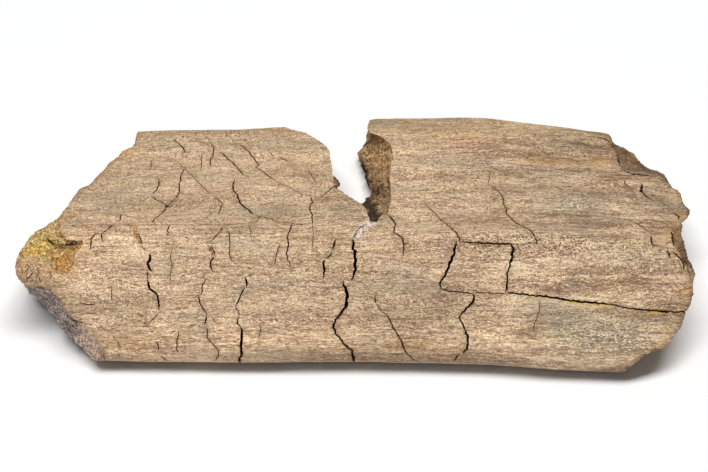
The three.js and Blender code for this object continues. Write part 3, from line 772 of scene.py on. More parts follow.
# Patches over the skin and in the scar: x, girth, half sizes, strength.
PATCHES = {
    "brown": (
        # The third brown patch, along the shallow groove on the top, is partly brown staining and
        # partly painted shade of that hollow.
        (51, 30, 9, 2.2, 1), (24.5, -17.5, 6.5, 3, 1), (42, 10, 18, 4, 1), (70, 9, 14, 3, 0.5),
        (92, 31, 3.5, 3, 0.9), (94, 22, 2.5, 6, 0.6), (90, 3, 4, 4, 0.5), (80, 38, 1.6, 5, 0.9),
        (72, 46, 7, 3, 0.7), (94, 36, 3, 2, 0.9), (70, 22, 10, 2, 0.4), (74, -9, 12, 1.5, 0.5),
        (88, 38, 8, 6, 0.7), (94.4, -0.4, 2, 3, 1), (94.3, 32, 1.6, 1.2, 1),
        (92.8, 28, 1.6, 1.6, 0.7), (60, 42, 14, 4, 0.6), (2, 45, 6, 4, 0.3),
        (-12.5, 24, 6, 4, 0.35), (62, -15.5, 10, 0.7, 0.9), (68, -13.8, 5, 0.6, 0.8),
        (78, 33, 10, 2.5, 0.7), (-44, 22, 6, 3, 0.35), (22, -8, 7, 3, 0.4),
        (-50, -33, 10, 3, 0.4), (10, -38, 50, 2.5, 0.5), (60, -34, 20, 2, 0.5),
        (93, 12, 3, 4, 0.6), (-12, -30, 9, 3, 0.3),
    ),
    "ochre": (
        (58, 36.8, 9, 2, 1), (49.5, 35.3, 2.6, 0.7, 1), (-71, 42, 5, 5, 0.9),
        (74, 38, 6, 2.5, 0.9), (93.6, 2, 2, 6, 0.9), (97.4, 14, 2, 3, 0.9),
        (-68, -31.5, 8, 3, 0.4), (85, -22.4, 5, 0.7, 0.7), (90.5, -28.5, 3.4, 3.4, 1),
        (96, 24, 2, 2.4, 0.9), (84.6, 41.2, 2, 1.6, 0.9), (95.5, 8, 3, 4, 0.6),
        (97, -14, 3, 4, 0.6), (-78, 32, 4, 6, 0.4), (-62, 12, 4, 4, 0.4), (5, 40, 5, 6, 0.5),
        (-18, 34, 8, 6, 0.3), (32, 47, 14, 3, 0.6), (-36, 46, 6, 3, 0.5), (93, 5, 3, 4, 0.7),
        (20, -34, 12, 3, 0.3),
    ),
    "grey": (
        (73, -29, 21, 7.5, 1), (65, 17, 11, 5, 0.9), (62.8, -13.5, 1.5, 1.2, 1),
        (-38, 45, 9, 4, 0.6), (78, -6, 16, 3.5, 0.6), (85, 21, 8, 5, 0.5), (-62, 18, 9, 4, 0.35),
        (93, 34.4, 2, 1.6, 1), (20, 45, 10, 3, 0.4), (-4, 26, 6, 4, 0.3), (-26, 12, 8, 3, 0.4),
        (91, 36.5, 4, 1.2, 0.8), (97.5, 18, 3, 3, 0.7), (-72, 18, 7, 3, 0.4), (8, 24, 8, 5, 0.3),
    ),
    "cream": (
        (54, 2.2, 26, 2.6, 0.9), (88, 1, 9, 3, 0.9), (56, 24, 22, 3, 0.6),
        (-52, -6, 30, 6, 0.45), (-30, -20, 34, 4, 0.4), (70, -14, 10, 2, 0.3),
        (-60, 2, 8, 4, 0.5), (8, -2, 9, 4, 0.5), (14, 41, 8, 4, 0.5), (-25, -35, 28, 1.6, 0.5),
        (50, -24, 8, 4, 0.5), (-38, 28, 36, 14, 0.7), (-80, -7.5, 1.2, 4, 0.9),
    ),
    "mauve": (
        (87, -22.8, 4, 1.7, 0.9), (-77, -33, 3.5, 2.2, 0.9), (-87, -15.2, 4, 1.4, 0.6),
        (27, -3, 1.2, 5, 0.5), (85, -29, 6, 2, 0.5), (-92, -12, 5, 2.5, 0.25),
        (83.5, 37.5, 2.4, 2, 0.4), (95.6, 19.8, 2, 2, 0.35), (-78, -31, 3, 2.4, 0.9),
        (-78.5, -28, 2, 1.6, 0.7), (84, 36, 4, 3, 0.7), (-95, -13.5, 3, 1, 0.4),
    ),
    # Paler bone; on the crest and the front these patches are also painted light, lifting faces the
    # lamps leave darker.
    "paler": (
        (-42, 41, 26, 6, 0.5), (-70, -3, 15, 9, 0.9), (-50, -12, 18, 13, 0.75),
        (-32, -28, 16, 6, 0.7), (17, 30, 7, 18, 0.6), (43, -26, 6, 7, 0.9),
        (72, -9, 18, 10, 0.7), (88, -26, 8, 6, 0.5), (-94, -10, 6, 3.4, 0.9),
        (-87.6, -12.6, 3.6, 1.8, 1), (79, 22, 5, 5, 0.9), (66, 9, 7, 4, 0.6),
        (31, 44, 6, 5, 0.7), (-76, -14, 7, 8, 0.8), (76, -24, 16, 6, 0.6),
    ),
    "duskier": (
        (56, 32, 22, 9, 0.9), (66, 46, 12, 5, 1), (72, 10, 8, 5, 0.3), (20, -31, 8, 11, 0.85),
        (6, -34, 9, 8, 0.6), (-22, -36.5, 14, 4, 1), (-4, 12, 6, 8, 1), (-51, 11, 7, 6, 0.8),
        (-22, 12, 6, 6, 0.75), (-66, -29, 6, 4, 0.9), (37, -36.5, 14, 4.5, 0.5),
        (86, 37, 7, 5, 0.5), (92, 22, 5, 9, 1), (88, 5, 7, 5, 0.4), (43, 21, 6, 4, 0.7),
        (-17, 42, 5, 5, 0.5),
    ),
    "pores": (
        (52, -1, 26, 5.5, 1), (-40, 3, 60, 3, 0.25), (80, -2, 12, 6, 0.7), (66, 16, 12, 6, 0.5),
        (-70, -12, 14, 6, 0.4), (75, -28, 20, 7, 0.6), (-85, -6, 8, 8, 0.7),
    ),
    "granular": (
        (-94.5, -11, 5.5, 3.6, 1), (-84, -13.5, 5, 2, 0.5), (92, 3, 5, 7, 0.8),
    ),
    "lemon": (
        (-93.4, -4.6, 2.8, 2.4, 1), (-90.4, -2.2, 2.4, 1.2, 1), (-87.8, -0.8, 2, 1, 0.8),
        (-90.6, -5.2, 3, 1.6, 0.8), (-92, 1.5, 2, 2, 0.3),
    ),
    "orange": (
        (-84, -8.8, 3.8, 3, 1), (-82, -5, 3, 3.4, 1), (-85.6, -9.8, 3, 2, 0.9),
        (-86.5, -6.4, 3, 2, 0.7), (-89.5, -0.6, 2, 0.8, 0.5),
    ),
    "dusty": (
        (-87, -4.4, 2.4, 1, 0.9), (-84.8, -3.2, 3, 0.9, 0.8), (-97.2, -3, 2, 5, 0.7),
        (-88, 4.5, 3, 4, 0.7), (-94, 0.5, 3, 2, 0.6), (-89.5, -7.6, 2.5, 0.9, 0.8),
        (-84.5, -11.6, 3, 0.9, 0.9),
    ),
    # Painted shadow under the overhanging lip of the yellow scar.
    "scar_lip_shadow": (
        (-84.2, -2.5, 3.6, 0.9, 1), (-88.2, -1.4, 1.4, 0.6, 0.7),
    ),
}
# Marks on the broken bone in the notch: x, y, z, half sizes, strength. The first blobs are painted
# shade in the deep inner end of the notch and low on its walls; the rust and silver ones are
# stains.
NOTCH_SHADE_BLOBS = (
    (3.2, 12, 8, 2.8, 8, 9, 1), (4.6, 0, 20, 2.8, 7, 7, 1), (6, -5, 26, 3.4, 4, 6, 1),
    (7.2, 15.5, 12, 1.1, 2, 2, 0.9), (6.2, 18.5, 8, 1.3, 3, 2.6, 0.6),
    (3.4, 26, 4, 2.4, 9, 3.4, 0.9), (5.8, 7.6, 15.6, 1.7, 3.4, 4.4, 1),
)
RUST_BLOBS = ((-5, 12, 19, 3.4, 5, 6, 1), (7.5, 12, 13, 1.4, 3, 4, 0.4))
SILVER_BLOBS = ((8.9, 2.5, 21, 1.8, 3.5, 3, 1), (7.4, -1.5, 24.5, 1.3, 2.2, 2, 0.6))
# Pale filling in old joints: strength, half width, then places as (x, girth).
PALE_FILLINGS = (
    (0.8, 0.6, (41.6, 35.6), (46.4, 34.7)), (1, 0.4, (46.4, 34.7), (50.6, 34), (60.6, 33.2)),
    (1.0, 1.6, (4.4, 5.4), (3.2, 3.6), (1.8, 1.6), (1, 0)),
    (0.35, 0.4, (13.9, -8.5), (13.9, -15)),
    (0.35, 0.35, (13.9, -15), (6.6, -15.2), (6.3, -17)),
    (0.3, 0.3, (-42.8, -26.9), (-37.7, -26.9)),
    (0.5, 0.5, (-34.3, -20.9), (-33.6, -22.4), (-33.3, -24)),
    (0.45, 0.4, (33.9, -20.5), (32.2, -22.4), (31.7, -24.4), (32.9, -27), (33.7, -29.8),
     (33.8, -32.6)),
    (0.35, 0.4, (-31.2, -15), (-32.1, -17.4), (-33.9, -20.4)),
    (0.3, 0.4, (-6, 2.2), (-12, -1.5)),
    (0.25, 0.3, (-36, -14.5), (-22, -14.8), (-6, -14.6)),
    (0.4, 0.4, (8, -23), (10.6, -26)),
)
YELLOW_FILLINGS = (
    (0.3, (50.6, -17.2), (56, -17.7)), (0.34, (60.5, -18.4), (65.5, -18.9)),
    (0.34, (68, -19.2), (74, -19.6)), (0.25, (84, -20.9), (88.6, -21.1)),
)
# Girths run from under the thin edge's rim, round the bone, and back to it.
UNDER_RIM = 72.0
GIRTH_SAMPLES = 760


def patch_values(places, patches):
    """The strongest of some soft-edged patches at each place on the skin."""
    total = np.zeros(len(places))
    for x, girth, half_x, half_girth, strength in patches:
        away = ((places[:, 0] - x) / half_x) ** 2 + ((places[:, 1] - girth) / half_girth) ** 2
        total = np.maximum(total, strength * np.exp(-away))
    return total


def blob_values(points, blobs):
    total = np.zeros(len(points))
    for x, y, z, half_x, half_y, half_z, strength in blobs:
        away = (points - (x, y, z)) / (half_x, half_y, half_z)
        total = np.maximum(total, strength * np.exp(-(away**2).sum(axis=1)))
    return total


def path_distance(places, paths):
    nearest = np.full(len(places), 1e3)
    for path in paths:
        path = np.array(path, float)
        nearest = np.minimum(nearest, line_distance(places, path[:-1], path[1:]))
    return nearest


def skin_places(points):
    """Where on the skin each point lies, as (x, girth), and how deep it is below it."""
    places = np.zeros((len(points), 2))
    depths = np.zeros(len(points))
    slices = np.round(points[:, 0]).astype(int)
    for x in np.unique(slices):
        chosen = np.flatnonzero(slices == x)
        ring = ring_at(x)
        girths = np.linspace(UNDER_RIM - ring.length, UNDER_RIM, GIRTH_SAMPLES)
        section, normals = ring.at(girths)
        offsets = points[chosen, None, 1:] - section[None]
        away = np.linalg.norm(offsets, axis=2)
        nearest = away.argmin(axis=1)
        places[chosen, 0] = points[chosen, 0]
        places[chosen, 1] = girths[nearest]
        out = np.einsum("ij,ij->i", offsets[np.arange(len(chosen)), nearest], normals[nearest])
        depths[chosen] = -out
    return places, depths


def paint_masks(mesh):
    """Write the smooth masks that the materials read, one value a vertex."""
    points = np.zeros(len(mesh.vertices) * 3)
    mesh.vertices.foreach_get("co", points)
    points = points.reshape(-1, 3)
    places, depths = skin_places(points)
    cracks = path_distance(places, [crack[1:] for crack in CRACKS + SHALLOW_CRACKS])
    edges = path_distance(places, [[spot[:2] for spot in outline]
                                   for outline in (LEFT_END, RIGHT_END)])
    scar = signed_distance(places, YELLOW_SCAR)
    pale = np.zeros(len(places))
    for strength, half_width, *path in PALE_FILLINGS:
        away = path_distance(places, [path])
        filled = 1 - smooth(away, half_width * 0.4, half_width * 1.6)
        pale = np.maximum(pale, strength * filled)
    yellow = np.zeros(len(places))
    for half_width, *path in YELLOW_FILLINGS:
        away = path_distance(places, [path])
        yellow = np.maximum(yellow, 1 - smooth(away, half_width * 0.4, half_width * 1.5))
    below_crest = -places[:, 1]
    # The lower front is lightened in colour as painted light, where the lamps leave it darker; the
    # same mask sets where the grain turns fibrous.
    front = smooth(below_crest, 22, 32) * (1 - 0.5 * smooth(below_crest, 35, 41))
    front = front * (1 - smooth(below_crest, 46, 50))
    masks = {name: patch_values(places, rows) for name, rows in PATCHES.items()}
    masks |= {
        "depth": np.clip(depths, 0, 40),
        "crack_near": np.exp(-cracks / 0.9),
        "edge_near": np.exp(-edges / 1.6),
        "scar_near": np.exp(-np.maximum(0, -scar) / 2.2),
        "pale": pale,
        "yellow": yellow,
        "low_front": front,
        "rim": smooth(places[:, 1], 47, 51),
        # Painted shade: where the notch is deep and low, the broken bone is darkened.
        "notch_shade": smooth(blob_values(points, NOTCH_SHADE_BLOBS), 0.1, 0.6),
        "rust": smooth(blob_values(points, RUST_BLOBS), 0.1, 0.7),
        "silver": smooth(blob_values(points, SILVER_BLOBS), 0.1, 0.8),
        "worn": smooth(np.maximum(*[signed_distance(places, outline) for outline in
                                    (WORN_CORNER, SPLINTERED_EDGE)]), -0.5, 0.3),
        "scar_rim": 1 - smooth(scar, 0.3, 2.2),
        "right_half": smooth(places[:, 0], 20, 60),
        # Painted shade: the face under the bone, down on the floor.
        "underside": smooth(below_crest, 43, 46) * (1 - smooth(points[:, 2], 1, 3)),
        "crust": smooth(points[:, 0], -81, -78.5),
        "foot_line": np.exp(-(((points[:, 2] - 8) / 0.9) ** 2)) * (points[:, 0] < -80),
        "edge_line": np.exp(-edges / 0.7) * np.where(places[:, 0] > 0, 0.9, 0.4),
        "top_left": smooth(-places[:, 0], -5, 8) * smooth(places[:, 1], 8, 14),
    }
    for name, values in masks.items():
        layer = mesh.attributes.new(name, "FLOAT", "POINT")
        layer.data.foreach_set("value", values.astype(np.float32))


# ---------------------------------------------------------------- the cut bone

SHARP_EDGE = math.radians(42)


def drop_crumbs(mesh):
    """Delete the slivers that the cuts leave loose, and keep the one bone."""
    bm = bmesh.new()
    bm.from_mesh(mesh)
    left = set(bm.verts)
    shells = []
    while left:
        front = [left.pop()]
        shell = list(front)
        while front:
            here = front.pop()
            near = [e.other_vert(here) for e in here.link_edges]
            fresh = [v for v in near if v in left]
            left.difference_update(fresh)
            front += fresh
            shell += fresh
        shells.append(shell)
    shells.sort(key=len)
    bmesh.ops.delete(bm, geom=[v for shell in shells[:-1] for v in shell], context="VERTS")
    bm.to_mesh(mesh)
    bm.free()


def make_rib_bone(materials):
    blank = make_blank(materials)
    cutters = [
        make_break_cutter("left_end_break", LEFT_END, LEFT_CORNERS,
                          lambda girth: MATRIX if girth < STONE_GIRTH else SPONGE, materials,
                          LEFT_FOOT),
        make_break_cutter("right_end_break", RIGHT_END, RIGHT_CORNERS,
                          lambda girth: CORTEX if girth < SKIN_GIRTH else SPONGE, materials,
                          RIGHT_FOOT),
        make_break_cutter("notch_break", NOTCH, NOTCH_CORNERS,
                          lambda girth: SPONGE, materials, NOTCH_FOOT, NOTCH_KNOBS),
    ]
    for name, outline, depth_at, finish in (
            ("yellow_scar", YELLOW_SCAR, yellow_scar_depth, MINERAL),
            ("worn_corner", WORN_CORNER,
             rough_depth(0.85, 0.22, (0.35, 2.2, 1, 1.6), (0.2, 1, 3)), CORTEX),
            ("splintered_edge", SPLINTERED_EDGE,
             rough_depth(1.2, 0.2, (1.1, 3, 5, 0.8), (0.3, 1, 6)), CORTEX),
            ("splintered_plate", SPLINTERED_PLATE,
             rough_depth(0.55, 0, (0.25, 1.5, 6, 0.8)), CORTEX)):
        cutters.append(make_scar_cutter(name, outline, depth_at, finish, materials))
    for name, cracks, finish, deepest in (
            ("crack", CRACKS, CRACK_WALL, DEEPEST),
            ("shallow_crack", SHALLOW_CRACKS, CRACK_WALL, SHALLOW_DEPTH),
            ("filled_crack", FILLED_CRACKS, SPONGE, FILLED_DEPTH)):
        for k, (widths, *points) in enumerate(cracks):
            cutters.append(make_crack_cutter(f"{name}_{k}", widths, points, finish, deepest,
                                             materials))
    for k, (x, girth, width) in enumerate(PITS):
        cutters.append(make_pit_cutter(f"pit_{k}", x, girth, width, materials))
    lost_bone = bpy.data.collections.new("lost_bone")
    bpy.context.scene.collection.children.link(lost_bone)
    for cutter in cutters:
        lost_bone.objects.link(cutter)
    bpy.context.scene.collection.objects.link(blank)
    cut = blank.modifiers.new("lost_bone", "BOOLEAN")
    cut.operation = "DIFFERENCE"
    cut.operand_type = "COLLECTION"
    cut.collection = lost_bone
    cut.solver = "MANIFOLD"
    shaped = blank.evaluated_get(bpy.context.evaluated_depsgraph_get())
    mesh = bpy.data.meshes.new_from_object(shaped)
    blank.modifiers.clear()
    blank.data = mesh
    for cutter in cutters:
        bpy.data.objects.remove(cutter)
    bpy.data.collections.remove(lost_bone)
    drop_crumbs(mesh)
    paint_masks(mesh)
    mesh.shade_smooth()
    mesh.set_sharp_from_angle(angle=SHARP_EDGE)
    mesh.transform(Matrix.Diagonal((MILLIMETRE, MILLIMETRE, MILLIMETRE, 1)))
    return blank


# ---------------------------------------------------------------- shader node groups


class Graph:
    """Short ways of placing nodes in one node tree."""

    def __init__(self, tree):
        self.tree = tree
        self.column = 0

    def node(self, kind, inputs=None, **settings):
        node = self.tree.nodes.new(kind)
        node.location = (self.column, -160 * (len(self.tree.nodes) % 5))
        self.column += 60
        for name, value in settings.items():
            setattr(node, name, value)
        for name, value in (inputs or {}).items():
            self.feed(node.inputs[name], value)
        return node

    def feed(self, socket, value):
        if isinstance(value, bpy.types.NodeSocket):
            self.tree.links.new(value, socket)
        else:
            socket.default_value = value

    def math(self, operation, a, b=0.0, clamp=False):
        node = self.node("ShaderNodeMath", {0: a, 1: b}, operation=operation)
        node.use_clamp = clamp
        return node.outputs[0]

    def times(self, a, b):
        return self.math("MULTIPLY", a, b)

    def plus(self, a, b):
        return self.math("ADD", a, b)

    def minus(self, a, b):
        return self.math("SUBTRACT", a, b)

    def band(self, value, low, high, start=0.0, end=1.0):
        """Value eased from start at low to end at high."""
        inputs = {"Value": value, "From Min": low, "From Max": high, "To Min": start,
                  "To Max": end}
        node = self.node("ShaderNodeMapRange", inputs, interpolation_type="SMOOTHSTEP")
        return node.outputs["Result"]

    def mix(self, share, a, b, blend="MIX"):
        node = self.node("ShaderNodeMix", data_type="RGBA", blend_type=blend)
        self.feed(node.inputs["Factor"], share)
        self.feed(node.inputs[6], a)
        self.feed(node.inputs[7], b)
        return node.outputs[2]

    def shaded(self, colour, share, factor):
        """Colour times factor where share is 1; it keeps the pattern under a stain."""
        return self.mix(share, colour, self.mix(1.0, colour, factor, "MULTIPLY"))

    def stained(self, colour, share, strength, stain):
        """Colour with a stain, out of 255, mixed in by share times strength."""
        return self.mix(self.times(share, strength), colour, tint(stain))

    def scaled(self, vector, scale):
        node = self.node("ShaderNodeVectorMath", {0: vector, 1: scale}, operation="MULTIPLY")
        return node.outputs[0]

    def noise(self, vector, scale=1.0, detail=2.0, roughness=0.55):
        inputs = {"Vector": vector, "Scale": scale, "Detail": detail, "Roughness": roughness}
        return self.node("ShaderNodeTexNoise", inputs).outputs["Fac"]

    def mask(self, name):
        return self.node("ShaderNodeAttribute", attribute_name=name).outputs["Fac"]

    def ramp(self, value, stops):
        node = self.node("ShaderNodeValToRGB", {"Fac": value})
        ramp = node.color_ramp
        while len(ramp.elements) < len(stops):
            ramp.elements.new(0.5)
        for element, (place, colour) in zip(ramp.elements, stops):
            element.position = place
            element.color = tint(colour)
        return node.outputs["Color"]

    def group(self, tree, inputs):
        node = self.node("ShaderNodeGroup")
        node.node_tree = tree
        for name, value in inputs.items():
            self.feed(node.inputs[name], value)
        return node.outputs


def tint(colour):
    """A linear colour, with alpha, from red, green and blue out of 255."""
    linear = [((c / 255 + 0.055) / 1.055) ** 2.4 if c > 10 else c / 255 / 12.92 for c in colour]
    return (*linear, 1.0)


def new_group(name, inputs, outputs):
    tree = bpy.data.node_groups.new(name, "ShaderNodeTree")
    for socket, kind, value in inputs:
        made = tree.interface.new_socket(name=socket, in_out="INPUT", socket_type=kind)
        if value is not None:
            made.default_value = value
    for socket, kind in outputs:
        tree.interface.new_socket(name=socket, in_out="OUTPUT", socket_type=kind)
    graph = Graph(tree)
    source = graph.node("NodeGroupInput").outputs
    target = graph.node("NodeGroupOutput").inputs
    return tree, graph, source, target


FLOAT, VECTOR = "NodeSocketFloat", "NodeSocketVector"


def bone_space(graph, waviness):
    """Object coordinates in millimetres, plain and warped so that the grain runs wavy."""
    place = graph.node("ShaderNodeTexCoord").outputs["Object"]
    place = graph.scaled(place, (1 / MILLIMETRE,) * 3)
    slow = graph.scaled(place, (0.09, 0.16, 0.16))
    warp = graph.node("ShaderNodeTexNoise", {"Vector": slow, "Scale": 1.0, "Detail": 2.0})
    shift = graph.node("ShaderNodeVectorMath", {0: warp.outputs["Color"], 1: (0.5, 0.5, 0.5)},
                       operation="SUBTRACT").outputs[0]
    shift = graph.scaled(shift, (0.0, 6.0, 6.0))
    scaled = graph.node("ShaderNodeVectorMath", {0: shift, "Scale": waviness},
                        operation="SCALE").outputs[0]
    wavy = graph.node("ShaderNodeVectorMath", {0: place, 1: scaled}, operation="ADD").outputs[0]
    return place, wavy


def make_grain_group():
    """Lengthwise fibres of old bone, worming where the grain is short."""
    tree, graph, source, target = new_group(
        "Lengthwise grain",
        (("Place", VECTOR, None), ("Worming", FLOAT, 0.0), ("Blotches", FLOAT, 0.5),
         ("Fibres", FLOAT, 0.0)),
        (("Tone", FLOAT), ("Fine", FLOAT), ("Veins", FLOAT), ("Light flecks", FLOAT),
         ("Dark flecks", FLOAT), ("Height", FLOAT)))
    place = source["Place"]

    def noise_at(scale, detail, roughness=0.6):
        return graph.noise(graph.scaled(place, scale), detail=detail, roughness=roughness)

    slow = noise_at((0.035, 0.2, 0.2), 3.0)
    broad = noise_at((0.09, 0.95, 0.95), 3.0)
    straight = noise_at((0.34, 1.7, 1.7), 3.0)
    worming = noise_at((0.8, 1.5, 1.5), 3.0)
    middle = graph.plus(straight, graph.times(source["Worming"], graph.minus(worming, straight)))
    long_fine = noise_at((0.75, 2.4, 2.4), 2.0)
    short_fine = noise_at((1.3, 2.1, 2.1), 2.0)
    fine = graph.plus(long_fine,
                      graph.times(source["Worming"], graph.minus(short_fine, long_fine)))
    grit = noise_at((2.0, 3.4, 3.4), 1.0)
    fibres = noise_at((0.2, 2.7, 2.7), 2.0)
    gritty = graph.band(source["Fibres"], 0, 1, 1.45, 0.75)
    tone = 0.5
    for part, weight in ((slow, source["Blotches"]), (broad, 0.45), (middle, 0.5), (fine, 1.3),
                         (grit, gritty), (fibres, source["Fibres"])):
        swing = graph.times(graph.minus(part, 0.5), weight)
        tone = graph.plus(swing, tone)
    lines = noise_at((0.06, 1.5, 1.5), 2.0)
    near_line = graph.math("ABSOLUTE", graph.minus(lines, 0.5))
    veins = graph.times(graph.band(near_line, 0.03, 0.0), graph.band(broad, 0.56, 0.42))
    # Light and dark flecks: partly the bone's own specks, partly painted light on the tops of the
    # fibres and painted shade in the furrows between them.
    light = noise_at((1.0, 1.9, 1.9), 1.5)
    shifted = graph.node("ShaderNodeVectorMath", {0: place, 1: (31.0, 7.0, 13.0)},
                         operation="ADD").outputs[0]
    dark = graph.noise(graph.scaled(shifted, (0.9, 1.8, 1.8)), detail=1.5)
    height = graph.plus(graph.times(middle, 0.7), graph.times(fine, 0.5))
    height = graph.plus(height, graph.times(broad, 0.9))
    height = graph.minus(height, graph.times(veins, 0.25))
    graph.feed(target["Tone"], tone)
    graph.feed(target["Fine"], fine)
    graph.feed(target["Veins"], veins)
    graph.feed(target["Light flecks"], graph.band(light, 0.6, 0.72))
    graph.feed(target["Dark flecks"], graph.band(dark, 0.4, 0.28))
    graph.feed(target["Height"], height)
    return tree


def make_speck_group():
    """Small scattered specks, 1 in their middle and 0 between them."""
    tree, graph, source, target = new_group(
        "Specks", (("Place", VECTOR, None), ("Amount", FLOAT, 0.3), ("Size", FLOAT, 0.4),
                   ("Stretch", VECTOR, (0.5, 1, 1))), (("Specks", FLOAT), ("Tone", FLOAT)))
    place = graph.node("ShaderNodeVectorMath", {0: source["Place"], 1: source["Stretch"]},
                       operation="MULTIPLY").outputs[0]
    scale = graph.math("DIVIDE", 1.0, source["Size"])
    cells = graph.node("ShaderNodeTexVoronoi", {"Vector": place, "Scale": scale,
                                                "Randomness": 1.0})
    chance = graph.node("ShaderNodeSeparateColor", {"Color": cells.outputs["Color"]})
    chosen = graph.math("LESS_THAN", chance.outputs["Red"], source["Amount"])
    round_spot = graph.band(cells.outputs["Distance"], 0.5, 0.22)
    graph.feed(target["Specks"], graph.times(chosen, round_spot))
    graph.feed(target["Tone"], chance.outputs["Green"])
    return tree


def make_crumb_group():
    """Crumbly broken bone or crust: grains of several sizes with dark hollows between."""
    tree, graph, source, target = new_group(
        "Crumbs", (("Place", VECTOR, None), ("Size", FLOAT, 1.0)),
        (("Tone", FLOAT), ("Hollows", FLOAT), ("Height", FLOAT)))
    scale = graph.math("DIVIDE", 1.0, source["Size"])
    jitter = graph.node("ShaderNodeTexNoise", {"Vector": source["Place"], "Scale": 1.3,
                                               "Detail": 2.0})
    bent = graph.node("ShaderNodeVectorMath", {0: source["Place"], 1: jitter.outputs["Color"]},
                      operation="ADD").outputs[0]
    grains = graph.node("ShaderNodeTexVoronoi", {"Vector": bent, "Scale": scale})
    tone = graph.node("ShaderNodeSeparateColor", {"Color": grains.outputs["Color"]}).outputs["Blue"]
    lumps = graph.noise(source["Place"], 0.55, 4.0, 0.62)
    holes = graph.noise(source["Place"], 1.15, 2.0, 0.6)
    hollows = graph.band(holes, 0.47, 0.36)
    bulge = graph.band(grains.outputs["Distance"], 0.75, 0.1)
    height = graph.plus(graph.times(bulge, 0.45), lumps)
    height = graph.minus(height, graph.times(hollows, 0.8))
    tone = graph.plus(graph.times(tone, 0.5), graph.times(lumps, 0.6))
    graph.feed(target["Tone"], tone)
    graph.feed(target["Hollows"], hollows)
    graph.feed(target["Height"], height)
    return tree


def new_material(name):
    material = bpy.data.materials.new(name)
    material.use_nodes = True
    graph = Graph(material.node_tree)
    return material, graph, material.node_tree.nodes["Principled BSDF"]


def dress(graph, surface, colour, roughness, specular, height, distance, strength):
    """Feed a material's colour, roughness, shine and relief; distance is in millimetres."""
    relieved = graph.node("ShaderNodeBump", {
        "Height": height, "Distance": distance * MILLIMETRE, "Strength": strength})
    graph.feed(surface.inputs["Base Color"], colour)
    graph.feed(surface.inputs["Roughness"], roughness)
    graph.feed(surface.inputs["Normal"], relieved.outputs["Normal"])
    surface.inputs["Specular IOR Level"].default_value = specular


# ---------------------------------------------------------------- materials


# What the bone's colour is multiplied by, where it is paler or duskier than the rest. On the lower
# front, and in part in the paler patches on the crest and front, it is painted light that lifts
# faces the lamps leave darker.
PAINTED_LIGHT_LOW_FRONT = (1.42, 1.41, 1.4, 1.0)
# Paler bone, and in part painted light on the crest and front.
PALER_AND_PAINTED_LIGHT = (1.24, 1.24, 1.25, 1.0)
DUSKIER = (0.74, 0.74, 0.73, 1.0)
WORN_DOWN = (0.62, 0.56, 0.5, 1.0)
# Painted shade for the deep end and the low walls of the notch.
PAINTED_NOTCH_SHADE = (0.115, 0.105, 0.085, 1.0)
EDGE_SHADE = (0.4, 0.38, 0.34, 1.0)
# Painted shadow under the scar's lip.
SHADOW_UNDER_LIP = (0.34, 0.3, 0.24, 1.0)


